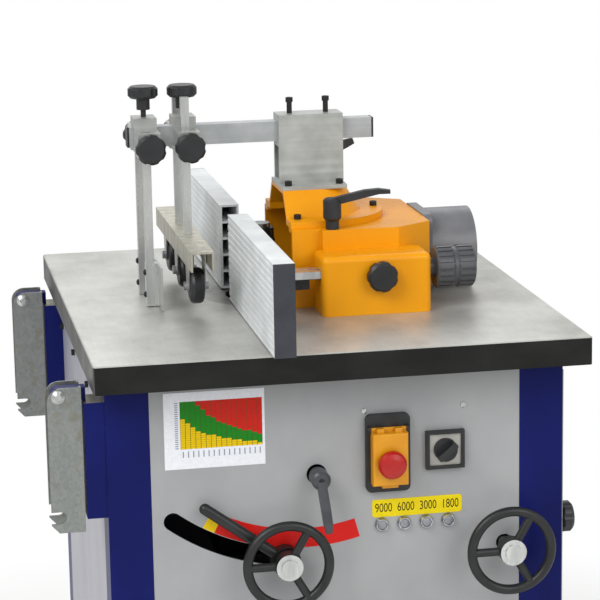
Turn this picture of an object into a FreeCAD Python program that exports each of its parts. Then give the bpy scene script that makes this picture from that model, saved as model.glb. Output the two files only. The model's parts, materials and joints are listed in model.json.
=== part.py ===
import FreeCAD, Part
import math
import os

os.makedirs("parts", exist_ok=True)

# Spindle moulder: cast table on a sheet-steel cabinet, tilting and rising spindle,
# split fence with a dust hood, and an overhead arm with two pressers.
# Millimetres, +Z up, floor at Z = 0. Names ending in _in are distances from the
# table's left or front edge, names ending in _up or _down from the table's top.

# Table and its ring
table_width = 700.0
table_depth = 800.0
table_thickness = 40.0
table_height = 880.0
table_left_x = -323.0
table_front_y = -390.0
table_corner_radius = 5.0
table_edge_chamfer = 1.5
table_plate = 16.0
table_rim = 92.0
table_rib = 44.0
table_boss_radius = 125.0
table_bore_radius = 80.0
ring_radius = 90.0
ring_bore_radius = 55.0
ring_thickness = 8.0
ring_play = 0.1
cut_over = 2.0
straight_share = 0.999

# Spindle axis and tilt axis
spindle_in_x = 300.0
spindle_in_y = 404.0
tilt_max_deg = 30.0
running_play = 0.05
sliding_play = 0.3

# Cabinet
cabinet_left_in = 20.0
cabinet_right_in = 675.0
cabinet_front_in = 62.0
cabinet_rear_in = 762.0
post_left_width = 61.0
post_right_width = 64.0
post_depth = 60.0
post_wall = 3.0
base_clear = 40.0
base_plate = 4.0
base_rail_height = 80.0
top_rail_height = 45.0
top_flange = 30.0
anchor_spacing_x = 440.0
anchor_spacing_y = 480.0
anchor_radius = 7.0
foot_radius = 30.0
foot_disc = 12.0
foot_stud_radius = 8.0
foot_stud_reach = 20.0
foot_inset = 38.0
foot_nut = 10.0
foot_nut_radius = 14.0

# Side door, its hinges and its knob
door_sheet = 2.5
door_front_in = 66.0
door_rear_in = 748.0
door_top_down = 62.0
door_bottom_up = 96.0
hinge_pin_radius = 3.0
hinge_knuckle_radius = 6.0
hinge_knuckle_length = 60.0
hinge_end_shares = (0.14, 0.86)
hinge_lug = 12.0
door_knob_in_y = 84.0
door_knob_down = 286.0

# Support arms, their stubs and pivots
arm_left_in = -58.5
arm_right_in = -11.5
arm_top_down = 43.0
arm_bottom_down = 250.0
arm_depth = 44.0
arm_front_in_y = 64.0
arm_rear_in_y = 700.0
arm_sheet = 3.0
arm_corner_radius = 20.0
arm_pivot_in_x = -43.5
arm_pivot_down = 55.0
arm_pivot_radius = 5.0
arm_pivot_head_radius = 9.5
arm_pivot_head = 5.0
arm_hook_down = 228.0
arm_hook_radius = 8.5
arm_hook_in_x = -46.0
arm_lug_width = 20.0
arm_lug_radius = 9.0
arm_slot_play = 1.5
arm_slot_down = 82.0
stub_left_in = -8.5
stub_top_down = 66.0
stub_bottom_down = 232.0
stub_wall = 4.0
stub_depth = 50.0

# Front panel openings
slot_half_width = 13.0
slot_spare_deg = 1.5
lever_hole_radius = 14.5
lever_hole_in_x = 315.7
lever_hole_down = 189.8
panel_shaft_hole = 12.0

# Stop switch, selector and lamps on the front panel
switch_left_in = 385.6
switch_right_in = 449.5
switch_top_down = 107.0
switch_bottom_down = 220.6
switch_plate = 8.0
switch_body_depth = 42.0
switch_body_inset = 6.0
switch_corner_radius = 8.0
lid_side_inset = 6.5
lid_top_gap = 20.0
lid_length = 80.0
lid_depth = 18.0
lid_wall = 2.5
lid_gap = 0.5
lid_pin_radius = 2.0
lid_lug = 4.0
mushroom_radius = 20.0
mushroom_head = 13.0
mushroom_crown_shares = ((1.0, 0.45), (0.86, 0.75), (0.5, 0.95))
mushroom_travel = 5.0
mushroom_stem_radius = 8.0
mushroom_down = 174.0
start_radius = 9.0
start_down = 147.0
start_proud = 7.0
start_travel = 4.0
start_depth = 18.0
selector_left_in = 473.0
selector_side = 56.0
selector_top_down = 137.0
selector_plate = 5.0
selector_body_side = 42.0
selector_knob_radius = 17.0
selector_knob_base = 6.0
selector_grip_height = 13.0
selector_grip_width = 9.0
selector_stem_radius = 5.0
selector_rest_deg = 50.0
lamp_first_in = 408.7
lamp_pitch = 32.4
lamp_count = 4
lamp_down = 270.5
lamp_radius = 10.0
lamp_lens_radius = 7.0
lamp_proud = 6.0
lamp_body = 20.0

# Small fasteners on the cabinet
panel_screw_in_x = (385.0, 528.7)
panel_screw_down = 102.5
panel_screw_radius = 4.0
panel_screw_head = 2.5
side_bolt_in_y = (295.0, 500.0, 685.0)
side_bolt_down = 98.0
side_bolt_radius = 5.0
side_bolt_head = 5.0

# Trunnion blocks under the table
trunnion_front_in = 250.0
trunnion_rear_in = 674.0
trunnion_thickness = 20.0
trunnion_half_width = 175.0
trunnion_bottom_down = 165.0
trunnion_arc_radius = 130.0
trunnion_arc_half = 9.0
trunnion_arc_deg = 60.0
trunnion_lug_half = 15.0
trunnion_lug_bottom_down = 203.0
rib_half_deg = 25.0
rib_end_gap = 0.5

# Tilting cradle
cradle_half_width = 95.0
cradle_plate = 12.0
cradle_front_in = 272.0
cradle_rear_in = 660.0
cradle_top_down = 115.0
cradle_bottom_down = 372.0
cradle_rail = 20.0
cradle_top_rail = 15.0
cradle_top_inner = 75.0
cradle_bottom_inner = 80.0
guide_radius = 10.0
guide_offset = 85.0
sector_spacer_half = 30.0
sector_spacer_top_down = 212.0
sector_spacer_bottom_down = 272.0

# Tilt gears, all of one module
gear_module = 3.0
gear_tip_share = 0.8
gear_root_share = 1.1
tooth_root_share = 0.28
tooth_tip_share = 0.10
sector_teeth = 200
pinion_teeth = 18
wheel_gear_teeth = 48
hand_gear_teeth = 17
sector_rim = 36.0
sector_front_in = 225.0
sector_thickness = 12.0
sector_spare_deg = 5.0
pinion_width = 16.0
wheel_gear_front_in = 200.0
wheel_gear_width = 12.0
tilt_line_deg = 42.9
tilt_shaft_radius = 8.0
pinion_shaft_radius = 9.0
gear_bracket_front_in = 178.0
gear_bracket_thickness = 18.0
gear_bracket_margin = 26.0
gear_bracket_web = 10.0

# Handwheels
wheel_front_in = 10.0
wheel_rim_radius = 58.0
wheel_rim_tube = 7.0
wheel_hub_radius = 19.0
wheel_hub_length = 22.0
wheel_spokes = 3
wheel_spoke_turn_share = 0.25
wheel_spoke_radius = 6.0
wheel_cap_radius = 12.0
wheel_cap = 3.0

# Lift screw, mitre gears and lift shaft
lift_shaft_offset = -34.0
lift_shaft_down = 308.0
lift_shaft_radius = 8.0
lift_sleeve_radius = 12.0
lift_sleeve_front_in = 34.0
lift_screw_in_y = 318.0
lift_screw_radius = 8.0
mitre_radius = 18.0
mitre_teeth = 16
mitre_face_share = 0.38
mitre_sink_share = 0.3
mitre_tip = 1.5
mitre_root = 2.4
mitre_hub = 12.0
mitre_hub_radius = 13.0
lift_bar_depth = 24.0
lift_bar_gap = 5.0
lift_bar = 15.0

# Lock levers
lock_hub_radius = 21.0
lock_hub_front_in = 38.0
lock_hub_length = 18.0
lock_grip_radius = 8.0
lock_reach_x = -119.0
lock_reach_z = 88.0
lever_hub_radius = 13.5
lever_hub_height = 46.0
lever_neck_radius = 10.0
lever_neck_height = 12.0
lever_width = 13.0
lever_rise = 16.0
lever_blade = 11.0
lever_edge = 3.0
lever_shoulder = 4.8
lever_bend_share = 0.55
lever_level_share = 0.8
lever_tip_share = 0.7
lever_stud_radius = 5.0
tilt_lever_reach = 74.0
tilt_lever_proud = 44.0
tilt_lever_stud_radius = 6.0
tilt_lever_lean_deg = 6.0

# Spindle carriage, motor, pulleys and belt
carriage_half_width = 45.0
carriage_half_depth = 50.0
carriage_top_down = 110.0
carriage_bottom_down = 290.0
bearing_radius = 31.0
bearing_width = 16.0
bearing_inset = 4.0
ear_width = 30.0
ear_half_depth = 20.0
ear_height = 30.0
ear_top_down = 152.0
nut_half_width = 20.0
nut_height = 30.0
nut_top_down = 155.0
nut_front_reach = 18.0
motor_in_y = 574.0
motor_radius = 65.0
motor_length = 168.0
motor_plate = 12.0
motor_plate_half = 70.0
motor_fins = 24
motor_fin_depth = 4.0
motor_fin_width = 7.0
motor_box_width = 80.0
motor_box_height = 70.0
motor_box_depth = 20.0
motor_end = 14.0
motor_shaft_radius = 12.0
motor_shaft_depth = 20.0
motor_hole_radius = 24.0
spindle_radius = 15.0
spindle_top_up = 110.0
spindle_bottom_down = 362.0
flange_radius = 24.0
flange_down = 30.0
flange_height = 8.0
collar_radius = 22.5
collar_count = 5
collar_top_up = 85.0
nut_radius = 21.0
nut_thickness = 18.0
pulley_top_down = 305.0
step_height = 12.0
spindle_steps = (52.0, 45.0, 38.0, 31.0)
motor_steps = (34.0, 41.0, 48.0, 55.0)
belt_step = 1
belt_thickness = 5.0
belt_width = 9.0

# Fence plates and bars
fence_face_in = 244.5
plate_thickness = 30.0
plate_height = 130.0
plate_lift = 2.0
front_plate_start_in = -20.7
front_plate_end_in = 364.0
rear_plate_start_in = 445.0
rear_plate_end_in = 798.0
plate_wall = 3.2
plate_cells = 5
groove_count = 13
groove_depth = 0.9
groove_share = 0.45
plate_cap = 2.5
tee_neck = 10.0
tee_neck_depth = 6.0
tee_head = 18.0
tee_head_depth = 5.0
bar_in_y = 245.0
bar_depth = 34.0
bar_thickness = 11.5
bar_top_up = 66.0
bar_end_in = 490.0
bar_groove = 3.0
bar_groove_depth = 1.5
bar_block_length = 68.0
bar_block_depth = 26.0
bar_block_height = 15.0
bar_bore_depth = 24.0

# Hood body, cover and dust outlet
hood_left_in = 328.0
hood_step_in = 371.0
hood_chamfer_in = 486.0
hood_right_in = 541.0
hood_front_in = 287.0
hood_block_in = 272.0
hood_corner_in = 308.0
hood_height = 117.5
hood_wall = 6.0
box_left_in = 359.0
box_right_in = 521.6
box_front_in = 215.0
box_height = 88.0
box_round = 9.0
cover_flange = 10.0
cover_half = 108.0
cover_center_in = 380.0
cover_foot_half = 74.0
cover_top_half = 49.5
cover_top_up = 165.0
cover_wall = 5.0
cover_screw_places_in = ((343.0, 322.0), (343.0, 486.0), (476.0, 404.0))
cap_screw_radius = 5.5
cap_screw_head = 7.0
dust_up = 60.0
dust_radius = 59.0
dust_wall = 3.5
dust_hole_radius = 52.0
dust_flange = 14.0
dust_flange_half = 60.0
dust_length = 70.0
dust_end_in_y = 404.0

# Knobs
star_radius = 22.5
star_head = 18.0
star_lobes = 7
star_scallop = 9.0
star_bite = 1.8
star_hub_radius = 10.0
star_hub = 17.0
star_stem_radius = 4.0
star_edge = 4.0
box_knob_in_x = 445.0
box_knob_up = 58.5
box_knob_gap = 3.0
box_stem_radius = 5.0
fine_radius = 31.5
fine_length = 58.0
fine_gap = 10.4
fine_neck_radius = 14.0
fine_ribs = 20
fine_edge = 3.0
fine_groove = 1.8
fine_rib_width = 4.0
fine_waist = 5.0
fine_screw_radius = 6.0

# Levers on the hood and the tower
hood_lever_in_x = 388.0
hood_lever_in_y = 283.5
hood_lever_reach = 86.0
hood_lever_deg = -8.0
tower_lever_in_x = 404.0
tower_lever_up = 196.0
tower_lever_reach = 62.0
tower_lever_deg = 20.0

# Presser tower and arm
tower_left_in = 328.0
tower_right_in = 426.0
tower_depth = 45.0
tower_flange_depth = 98.0
tower_flange = 6.0
tower_top_up = 275.0
tower_hollow_depth = 32.0
tower_hollow_low_up = 177.0
tower_hollow_high_up = 227.0
tower_screw_in_x = (348.5, 404.0)
tower_screw_radius = 4.0
tower_screw_head_up = 292.0
flange_screw_inset = 10.0
beam_left_in = 104.0
beam_right_in = 472.0
beam_depth = 25.0
beam_height = 30.0
beam_low_up = 235.0
beam_wall = 3.0
beam_cap = 3.0
beam_plug = 12.0

# Presser carriers, posts and rollers
carrier_in_x = (127.5, 186.0)
carrier_width = 34.0
saddle_depth = 44.0
saddle_low_up = 229.0
saddle_top_up = 279.0
clamp_depth = 44.0
clamp_low_up = 226.0
clamp_top_up = 262.0
rod_side = 12.0
rod_play = 0.1
rod_spread = 45.5
rod_offset_x = -3.0
side_knob_up = 241.0
side_knob_gap = 4.0
top_knob_gap = 11.0
shoe_rod_top_up = 250.0
shoe_top_up = 66.0
shoe_low_up = 1.5
shoe_block_left = -6.5
shoe_block_right = 10.5
shoe_block_depth = 16.0
shoe_plate = 3.0
shoe_front_in = 312.0
shoe_rear_in = 496.0
shoe_screw_shares = (0.26, 0.78)
shoe_screw_radius = 4.5
shoe_screw_head = 3.5
roller_rod_top_up = 312.0
channel_top_up = 107.0
channel_low_up = 78.0
channel_width = 34.0
channel_sheet = 3.0
channel_front_in = 211.0
channel_rear_in = 597.0
roller_pitch = 121.0
roller_radius = 26.5
roller_width = 20.0
roller_axle_up = 44.0
roller_axle_radius = 4.0
roller_round = 5.0
fork_sheet = 2.0
fork_inner = 22.0
fork_top_half = 20.0
fork_tip_half = 9.0
fork_plate = 3.0
axle_nut_radius = 6.5
axle_nut = 5.0

# Places worked out from the sizes above
table_right_x = table_left_x + table_width
table_rear_y = table_front_y + table_depth
top_z = table_height
under_z = top_z - table_thickness
spindle_x = table_left_x + spindle_in_x
spindle_y = table_front_y + spindle_in_y
cab_left = table_left_x + cabinet_left_in
cab_right = table_left_x + cabinet_right_in
cab_front = table_front_y + cabinet_front_in
cab_rear = table_front_y + cabinet_rear_in
panel_left = cab_left + post_left_width
panel_right = cab_right - post_right_width
base_top = base_clear + base_plate
rail_top = base_clear + base_rail_height
beam_low = top_z + beam_low_up
beam_top = beam_low + beam_height
gear_center_far = gear_module * (sector_teeth + pinion_teeth) / 2
gear_center_near = gear_module * (wheel_gear_teeth + hand_gear_teeth) / 2
tilt_dir_x = math.sin(math.radians(tilt_line_deg))
tilt_dir_z = -math.cos(math.radians(tilt_line_deg))
pinion_x = spindle_x + gear_center_far * tilt_dir_x
pinion_z = top_z + gear_center_far * tilt_dir_z
tilt_wheel_x = pinion_x + gear_center_near * tilt_dir_x
tilt_wheel_z = pinion_z + gear_center_near * tilt_dir_z
lift_x = spindle_x + lift_shaft_offset
lift_z = top_z - lift_shaft_down
lift_screw_y = table_front_y + lift_screw_in_y
lock_lever_x = table_left_x + lever_hole_in_x
lock_lever_z = top_z - lever_hole_down
motor_y = table_front_y + motor_in_y


def at(x, y, z):
    return FreeCAD.Vector(x, y, z)


def box(x0, x1, y0, y1, z0, z1):
    """A block between two values on each axis, in either order."""
    low = at(min(x0, x1), min(y0, y1), min(z0, z1))
    return Part.makeBox(abs(x1 - x0), abs(y1 - y0), abs(z1 - z0), low)


def rod_x(radius, x0, x1, y, z):
    return Part.makeCylinder(radius, abs(x1 - x0), at(min(x0, x1), y, z), at(1, 0, 0))


def rod_y(radius, x, y0, y1, z):
    return Part.makeCylinder(radius, abs(y1 - y0), at(x, min(y0, y1), z), at(0, 1, 0))


def rod_z(radius, x, y, z0, z1):
    return Part.makeCylinder(radius, abs(z1 - z0), at(x, y, min(z0, z1)), at(0, 0, 1))


def slab_y(points, y0, y1):
    """A prism along Y whose outline is a list of (x, z) points."""
    corners = [at(x, y0, z) for x, z in points]
    face = Part.Face(Part.makePolygon(corners + corners[:1]))
    return face.extrude(at(0, y1 - y0, 0))


def slab_z(points, z0, z1):
    """A prism along Z whose outline is a list of (x, y) points."""
    corners = [at(x, y, z0) for x, y in points]
    face = Part.Face(Part.makePolygon(corners + corners[:1]))
    return face.extrude(at(0, 0, z1 - z0))


def turned(points, place, along):
    """A solid of revolution from (radius, height) points, its axis turned to a direction."""
    corners = [at(radius, 0, height) for radius, height in points]
    face = Part.Face(Part.makePolygon(corners + corners[:1]))
    solid = face.revolve(at(0, 0, 0), at(0, 0, 1), 360)
    solid.Placement = FreeCAD.Placement(place, FreeCAD.Rotation(at(0, 0, 1), along))
    return solid


def fused(first, *others):
    return first.multiFuse(list(others)).removeSplitter() if others else first


def upright_edges(shape, axis):
    """The straight edges of a shape that run along one of the axes 0, 1 or 2."""
    chosen = []
    for edge in shape.Edges:
        if edge.Curve.TypeId == "Part::GeomLine":
            run = edge.Vertexes[1].Point - edge.Vertexes[0].Point
            if abs(run[axis]) > edge.Length * straight_share:
                chosen.append(edge)
    return chosen


def polar(x, z, radius, degrees):
    """A point at an angle from straight down, positive towards the left."""
    turn = math.radians(degrees)
    return (x - radius * math.sin(turn), z - radius * math.cos(turn))


def arc_band(x, z, inner, outer, from_deg, to_deg, y0, y1):
    """Part of a flat ring about an axis along Y, between two angles from straight down."""
    ring = rod_y(outer, x, y0, y1, z).cut(rod_y(inner, x, y0 - cut_over, y1 + cut_over, z))
    reach = 2 * outer
    steps = 4
    turns = [from_deg + (to_deg - from_deg) * k / steps for k in range(steps + 1)]
    wedge = slab_y([(x, z)] + [polar(x, z, reach, turn) for turn in turns], y0, y1)
    return ring.common(wedge)


def gear_outline(x, z, teeth, aim_deg, gap_first=False, from_tooth=0, to_tooth=None):
    """Straight-sided teeth round (x, z), with a tooth or a gap centred on one direction.

    The direction is an angle from straight down, positive towards the left.
    """
    pitch = gear_module * teeth / 2
    tip = pitch + gear_tip_share * gear_module
    root = pitch - gear_root_share * gear_module
    step = 360.0 / teeth
    start = aim_deg + (step / 2 if gap_first else 0)
    points = []
    for tooth in range(from_tooth, teeth if to_tooth is None else to_tooth):
        middle = start + tooth * step
        points.append(polar(x, z, root, middle - tooth_root_share * step))
        points.append(polar(x, z, tip, middle - tooth_tip_share * step))
        points.append(polar(x, z, tip, middle + tooth_tip_share * step))
        points.append(polar(x, z, root, middle + tooth_root_share * step))
    return points


def save(node, *solids):
    shape = solids[0] if len(solids) == 1 else Part.makeCompound(list(solids))
    shape.exportStep("parts/" + node + ".step")
    print(node, "solids", len(shape.Solids), "valid", shape.isValid(), "litres", round(shape.Volume / 1e6, 3))


def star_knob(seat, along, hub_length, stem_length, stem_radius, gap):
    """A lobed knob: thread below the seat, a gap, a hub and a scalloped head along a direction."""
    head_base = gap + hub_length
    head_top = head_base + star_head
    hub = [(0, gap), (star_hub_radius, gap), (star_hub_radius, head_base), (0, head_base)]
    head = [(0, head_base), (star_radius - star_edge, head_base), (star_radius, head_base + star_edge),
            (star_radius, head_top - star_edge), (star_radius - star_edge, head_top), (0, head_top)]
    stem = [(0, -stem_length), (stem_radius, -stem_length), (stem_radius, gap), (0, gap)]
    top = turned(head, at(0, 0, 0), at(0, 0, 1))
    cuts = []
    ring = star_radius + star_scallop - star_bite
    for lobe in range(star_lobes):
        turn = 2 * math.pi * lobe / star_lobes
        cuts.append(rod_z(star_scallop, ring * math.cos(turn), ring * math.sin(turn), head_base, head_top))
    top = top.cut(Part.makeCompound(cuts))
    knob = fused(top, turned(stem, at(0, 0, 0), at(0, 0, 1)))
    if hub_length > 0:
        knob = fused(knob, turned(hub, at(0, 0, 0), at(0, 0, 1)))
    knob.Placement = FreeCAD.Placement(seat, FreeCAD.Rotation(at(0, 0, 1), along))
    return knob


def clamp_lever(seat, arm, along, reach, height, stud, stud_radius):
    """A clamping lever: stud, necked hub and a blade that rises and thins towards its tip."""
    profile = [(0, -stud), (stud_radius, -stud), (stud_radius, 0), (lever_neck_radius, 0),
               (lever_neck_radius, lever_neck_height), (lever_hub_radius, lever_neck_height + lever_shoulder),
               (lever_hub_radius, height - lever_edge), (lever_hub_radius - lever_edge, height), (0, height)]
    hub = turned(profile, at(0, 0, 0), at(0, 0, 1))
    low = height - lever_blade
    tip = lever_blade * lever_tip_share
    half = lever_width / 2
    end_half = half * lever_tip_share
    sections = []
    for share, width, thick in ((0.0, half, lever_blade), (lever_bend_share, half, lever_blade),
                                (lever_level_share, half, tip), (1.0, end_half, tip * lever_tip_share)):
        x = reach * share
        z = low + lever_rise * min(share / lever_level_share, 1.0)
        corners = [at(x, -width, z), at(x, width, z), at(x, width, z + thick), at(x, -width, z + thick)]
        sections.append(Part.makePolygon(corners + corners[:1]))
    blade = Part.makeLoft(sections, True, True)
    lever = fused(hub, blade)
    across = along.cross(arm)
    turn = FreeCAD.Matrix(arm.x, across.x, along.x, seat.x, arm.y, across.y, along.y, seat.y,
                          arm.z, across.z, along.z, seat.z, 0, 0, 0, 1)
    lever.Placement = FreeCAD.Placement(turn)
    return lever


# The table: a ground plate with a deep rim, cross ribs and a boss round the spindle
def make_table():
    slab = box(table_left_x, table_right_x, table_front_y, table_rear_y, under_z, top_z)
    slab = slab.makeFillet(table_corner_radius, upright_edges(slab, 2))
    rims = [edge for edge in slab.Edges if abs(edge.BoundBox.ZMin - top_z) < cut_over / 10]
    slab = slab.makeChamfer(table_edge_chamfer, rims)
    pocket = box(table_left_x + table_rim, table_right_x - table_rim,
                 table_front_y + table_rim, table_rear_y - table_rim,
                 under_z - cut_over, top_z - table_plate)
    ribs = [rod_z(table_boss_radius, spindle_x, spindle_y, under_z - cut_over, top_z)]
    for place in (trunnion_front_in, trunnion_rear_in):
        middle = table_front_y + place + trunnion_thickness / 2
        ribs.append(box(table_left_x, table_right_x, middle - table_rib / 2, middle + table_rib / 2,
                        under_z - cut_over, top_z))
    pocket = pocket.cut(Part.makeCompound(ribs[:1])).cut(Part.makeCompound(ribs[1:]))
    bore = rod_z(table_bore_radius, spindle_x, spindle_y, under_z - cut_over, top_z + cut_over)
    seat = rod_z(ring_radius, spindle_x, spindle_y, top_z - ring_thickness, top_z + cut_over)
    return slab.cut(pocket).cut(fused(bore, seat))


save("table", make_table())
ring_out = rod_z(ring_radius - ring_play, spindle_x, spindle_y, top_z - ring_thickness, top_z)
ring_in = rod_z(ring_bore_radius, spindle_x, spindle_y, top_z - ring_thickness - cut_over, top_z + cut_over)
save("table_ring", ring_out.cut(ring_in))


# The cabinet frame: four folded corner posts, base and top rails, and the arm stubs
def corner_post(x, y, way_x, way_y, width):
    front = box(x, x + way_x * width, y, y + way_y * post_wall, base_clear, under_z)
    side = box(x, x + way_x * post_wall, y, y + way_y * post_depth, base_clear, under_z)
    return fused(front, side)


def arm_stub(front_in):
    """A box stub on the cabinet's left side, with the lug that the support arm hangs on."""
    left = table_left_x + stub_left_in
    y0 = table_front_y + front_in
    y1 = y0 + stub_depth
    outer = box(left, cab_left, y0, y1, top_z - stub_bottom_down, top_z - stub_top_down)
    inner = box(left + stub_wall, cab_left, y0 + stub_wall, y1 - stub_wall,
                top_z - stub_bottom_down - cut_over, top_z - stub_top_down - stub_wall)
    pivot_x = table_left_x + arm_pivot_in_x
    pivot_z = top_z - arm_pivot_down
    middle = y0 + arm_depth / 2
    lug_y = (middle - arm_lug_width / 2, middle + arm_lug_width / 2)
    lug = fused(rod_y(arm_lug_radius, pivot_x, lug_y[0], lug_y[1], pivot_z),
                box(pivot_x, left, lug_y[0], lug_y[1], pivot_z - arm_lug_radius, pivot_z + arm_lug_radius),
                box(left, left + stub_wall, lug_y[0], lug_y[1], top_z - stub_top_down - stub_wall,
                    pivot_z + arm_lug_radius))
    hole = rod_y(arm_pivot_radius, pivot_x, lug_y[0] - cut_over, lug_y[1] + cut_over, pivot_z)
    return fused(outer.cut(inner), lug).cut(hole)


def make_frame():
    posts = [corner_post(cab_left, cab_front, 1, 1, post_left_width),
             corner_post(cab_right, cab_front, -1, 1, post_right_width),
             corner_post(cab_left, cab_rear, 1, -1, post_left_width),
             corner_post(cab_right, cab_rear, -1, -1, post_right_width)]
    pan = box(cab_left, cab_right, cab_front, cab_rear, base_clear, base_top)
    middle_x = (cab_left + cab_right) / 2
    middle_y = (cab_front + cab_rear) / 2
    holes = []
    for side_x in (-0.5, 0.5):
        for side_y in (-0.5, 0.5):
            hole_x = middle_x + side_x * anchor_spacing_x
            hole_y = middle_y + side_y * anchor_spacing_y
            holes.append(rod_z(anchor_radius, hole_x, hole_y, base_clear - cut_over, base_top + cut_over))
    for x, y in foot_places():
        holes.append(rod_z(foot_stud_radius, x, y, base_clear - cut_over, base_top + cut_over))
    pan = pan.cut(Part.makeCompound(holes))
    rails = []
    for y in (cab_front, cab_rear - post_wall):
        rails.append(box(cab_left, cab_right, y, y + post_wall, base_clear, rail_top))
    for x in (cab_left, cab_right - post_wall):
        rails.append(box(x, x + post_wall, cab_front, cab_rear, base_clear, rail_top))
    inner_front = cab_front + post_wall
    for y, way in ((inner_front, 1), (cab_rear - post_wall, -1)):
        rails.append(box(cab_left, cab_right, y, y + way * post_wall, under_z - top_rail_height, under_z))
        rails.append(box(cab_left, cab_right, y, y + way * top_flange, under_z - post_wall, under_z))
    for x, way in ((cab_left + post_wall, 1), (cab_right - post_wall, -1)):
        rails.append(box(x, x + way * post_wall, cab_front, cab_rear, under_z - top_rail_height, under_z))
    stubs = [arm_stub(arm_front_in_y), arm_stub(arm_rear_in_y)]
    pins = []
    span = door_top_z() - door_bottom_z()
    hinge_x = cab_right + hinge_knuckle_radius + sliding_play
    hinge_y = table_front_y + door_rear_in + hinge_knuckle_radius
    for share in hinge_end_shares:
        z = door_bottom_z() + span * share
        foot = z - hinge_knuckle_length / 2 - sliding_play
        pins.append(rod_z(hinge_pin_radius, hinge_x, hinge_y, foot - hinge_lug / 2,
                          z + hinge_knuckle_length / 2))
        pins.append(fused(rod_z(hinge_knuckle_radius, hinge_x, hinge_y, foot - hinge_lug, foot),
                          box(cab_right - post_wall, hinge_x, hinge_y - hinge_pin_radius,
                              hinge_y + hinge_pin_radius, foot - hinge_lug, foot)))
    return fused(pan, *posts, *rails, *stubs, *pins)


def foot_places():
    for x in (cab_left + foot_inset, cab_right - foot_inset):
        for y in (cab_front + foot_inset, cab_rear - foot_inset):
            yield x, y


def door_top_z():
    return top_z - door_top_down


def door_bottom_z():
    return base_clear + door_bottom_up


save("cabinet_frame", make_frame())

feet = []
for foot_x, foot_y in foot_places():
    feet.append(turned([(0, 0), (foot_radius, 0), (foot_radius, foot_disc / 2),
                        (foot_stud_radius * 2, foot_disc), (foot_stud_radius, foot_disc),
                        (foot_stud_radius, base_clear - foot_nut),
                        (foot_nut_radius, base_clear - foot_nut), (foot_nut_radius, base_clear),
                        (foot_stud_radius, base_clear), (foot_stud_radius, base_top + foot_stud_reach),
                        (0, base_top + foot_stud_reach)], at(foot_x, foot_y, 0), at(0, 0, 1)))
save("levelling_feet", *feet)


# The front panel, with the tilt slot and the openings for levers, switches and lamps
def make_front_panel():
    y0 = cab_front
    y1 = cab_front + post_wall
    panel = box(panel_left, panel_right, y0, y1, rail_top, under_z)
    back = y1 + cut_over
    face = y0 - cut_over
    slot_radius = math.hypot(lift_shaft_offset, lift_shaft_down)
    start = math.degrees(math.atan2(-lift_shaft_offset, lift_shaft_down)) - slot_spare_deg
    end = start + tilt_max_deg + 2 * slot_spare_deg
    cuts = [arc_band(spindle_x, top_z, slot_radius - slot_half_width, slot_radius + slot_half_width,
                     start, end, face, back)]
    for turn in (start, end):
        x, z = polar(spindle_x, top_z, slot_radius, turn)
        cuts.append(rod_y(slot_half_width, x, face, back, z))
    cuts.append(rod_y(lever_hole_radius, lock_lever_x, face, back, lock_lever_z))
    cuts.append(rod_y(panel_shaft_hole, tilt_wheel_x, face, back, tilt_wheel_z))
    cuts.append(box(table_left_x + switch_left_in + switch_body_inset,
                    table_left_x + switch_right_in - switch_body_inset, face, back,
                    top_z - switch_bottom_down + switch_body_inset,
                    top_z - switch_top_down - switch_body_inset))
    inset = (selector_side - selector_body_side) / 2
    selector_left = table_left_x + selector_left_in
    selector_top = top_z - selector_top_down
    cuts.append(box(selector_left + inset, selector_left + selector_side - inset, face, back,
                    selector_top - selector_side + inset, selector_top - inset))
    for lamp in range(lamp_count):
        cuts.append(rod_y(lamp_lens_radius, table_left_x + lamp_first_in + lamp * lamp_pitch, face, back,
                          top_z - lamp_down))
    for cut in cuts:
        panel = panel.cut(cut)
    return panel


save("front_panel", make_front_panel())
left_panel = box(cab_left, cab_left + post_wall, cab_front + post_depth, cab_rear - post_depth,
                 rail_top, under_z)
rear_panel = box(panel_left, panel_right, cab_rear - post_wall, cab_rear, rail_top, under_z)
save("side_panels", left_panel, rear_panel)


# The side door lies over the right posts and hangs on two lift-off hinges
def make_door():
    x0 = cab_right
    x1 = cab_right + door_sheet
    y0 = table_front_y + door_front_in
    y1 = table_front_y + door_rear_in
    low = door_bottom_z()
    high = door_top_z()
    door = box(x0, x1, y0, y1, low, high)
    hinge_x = cab_right + hinge_knuckle_radius + sliding_play
    hinge_y = y1 + hinge_knuckle_radius
    for share in hinge_end_shares:
        z = low + (high - low) * share
        z0 = z - hinge_knuckle_length / 2
        z1 = z + hinge_knuckle_length / 2
        door = fused(door, rod_z(hinge_knuckle_radius, hinge_x, hinge_y, z0, z1),
                     box(x0 + sliding_play, x1, y1 - hinge_knuckle_radius, hinge_y, z0, z1))
        door = door.cut(rod_z(hinge_pin_radius + running_play, hinge_x, hinge_y,
                              z0 - cut_over, z1 + cut_over))
    hole_y = table_front_y + door_knob_in_y
    hole_z = top_z - door_knob_down
    return door.cut(rod_x(star_stem_radius + running_play, x0 - cut_over, x1 + cut_over, hole_y, hole_z))


save("side_door", make_door())
knob_seat = at(cab_right + door_sheet, table_front_y + door_knob_in_y, top_z - door_knob_down)
save("door_knob", star_knob(knob_seat, at(1, 0, 0), 0, door_sheet, star_stem_radius, running_play))


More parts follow.
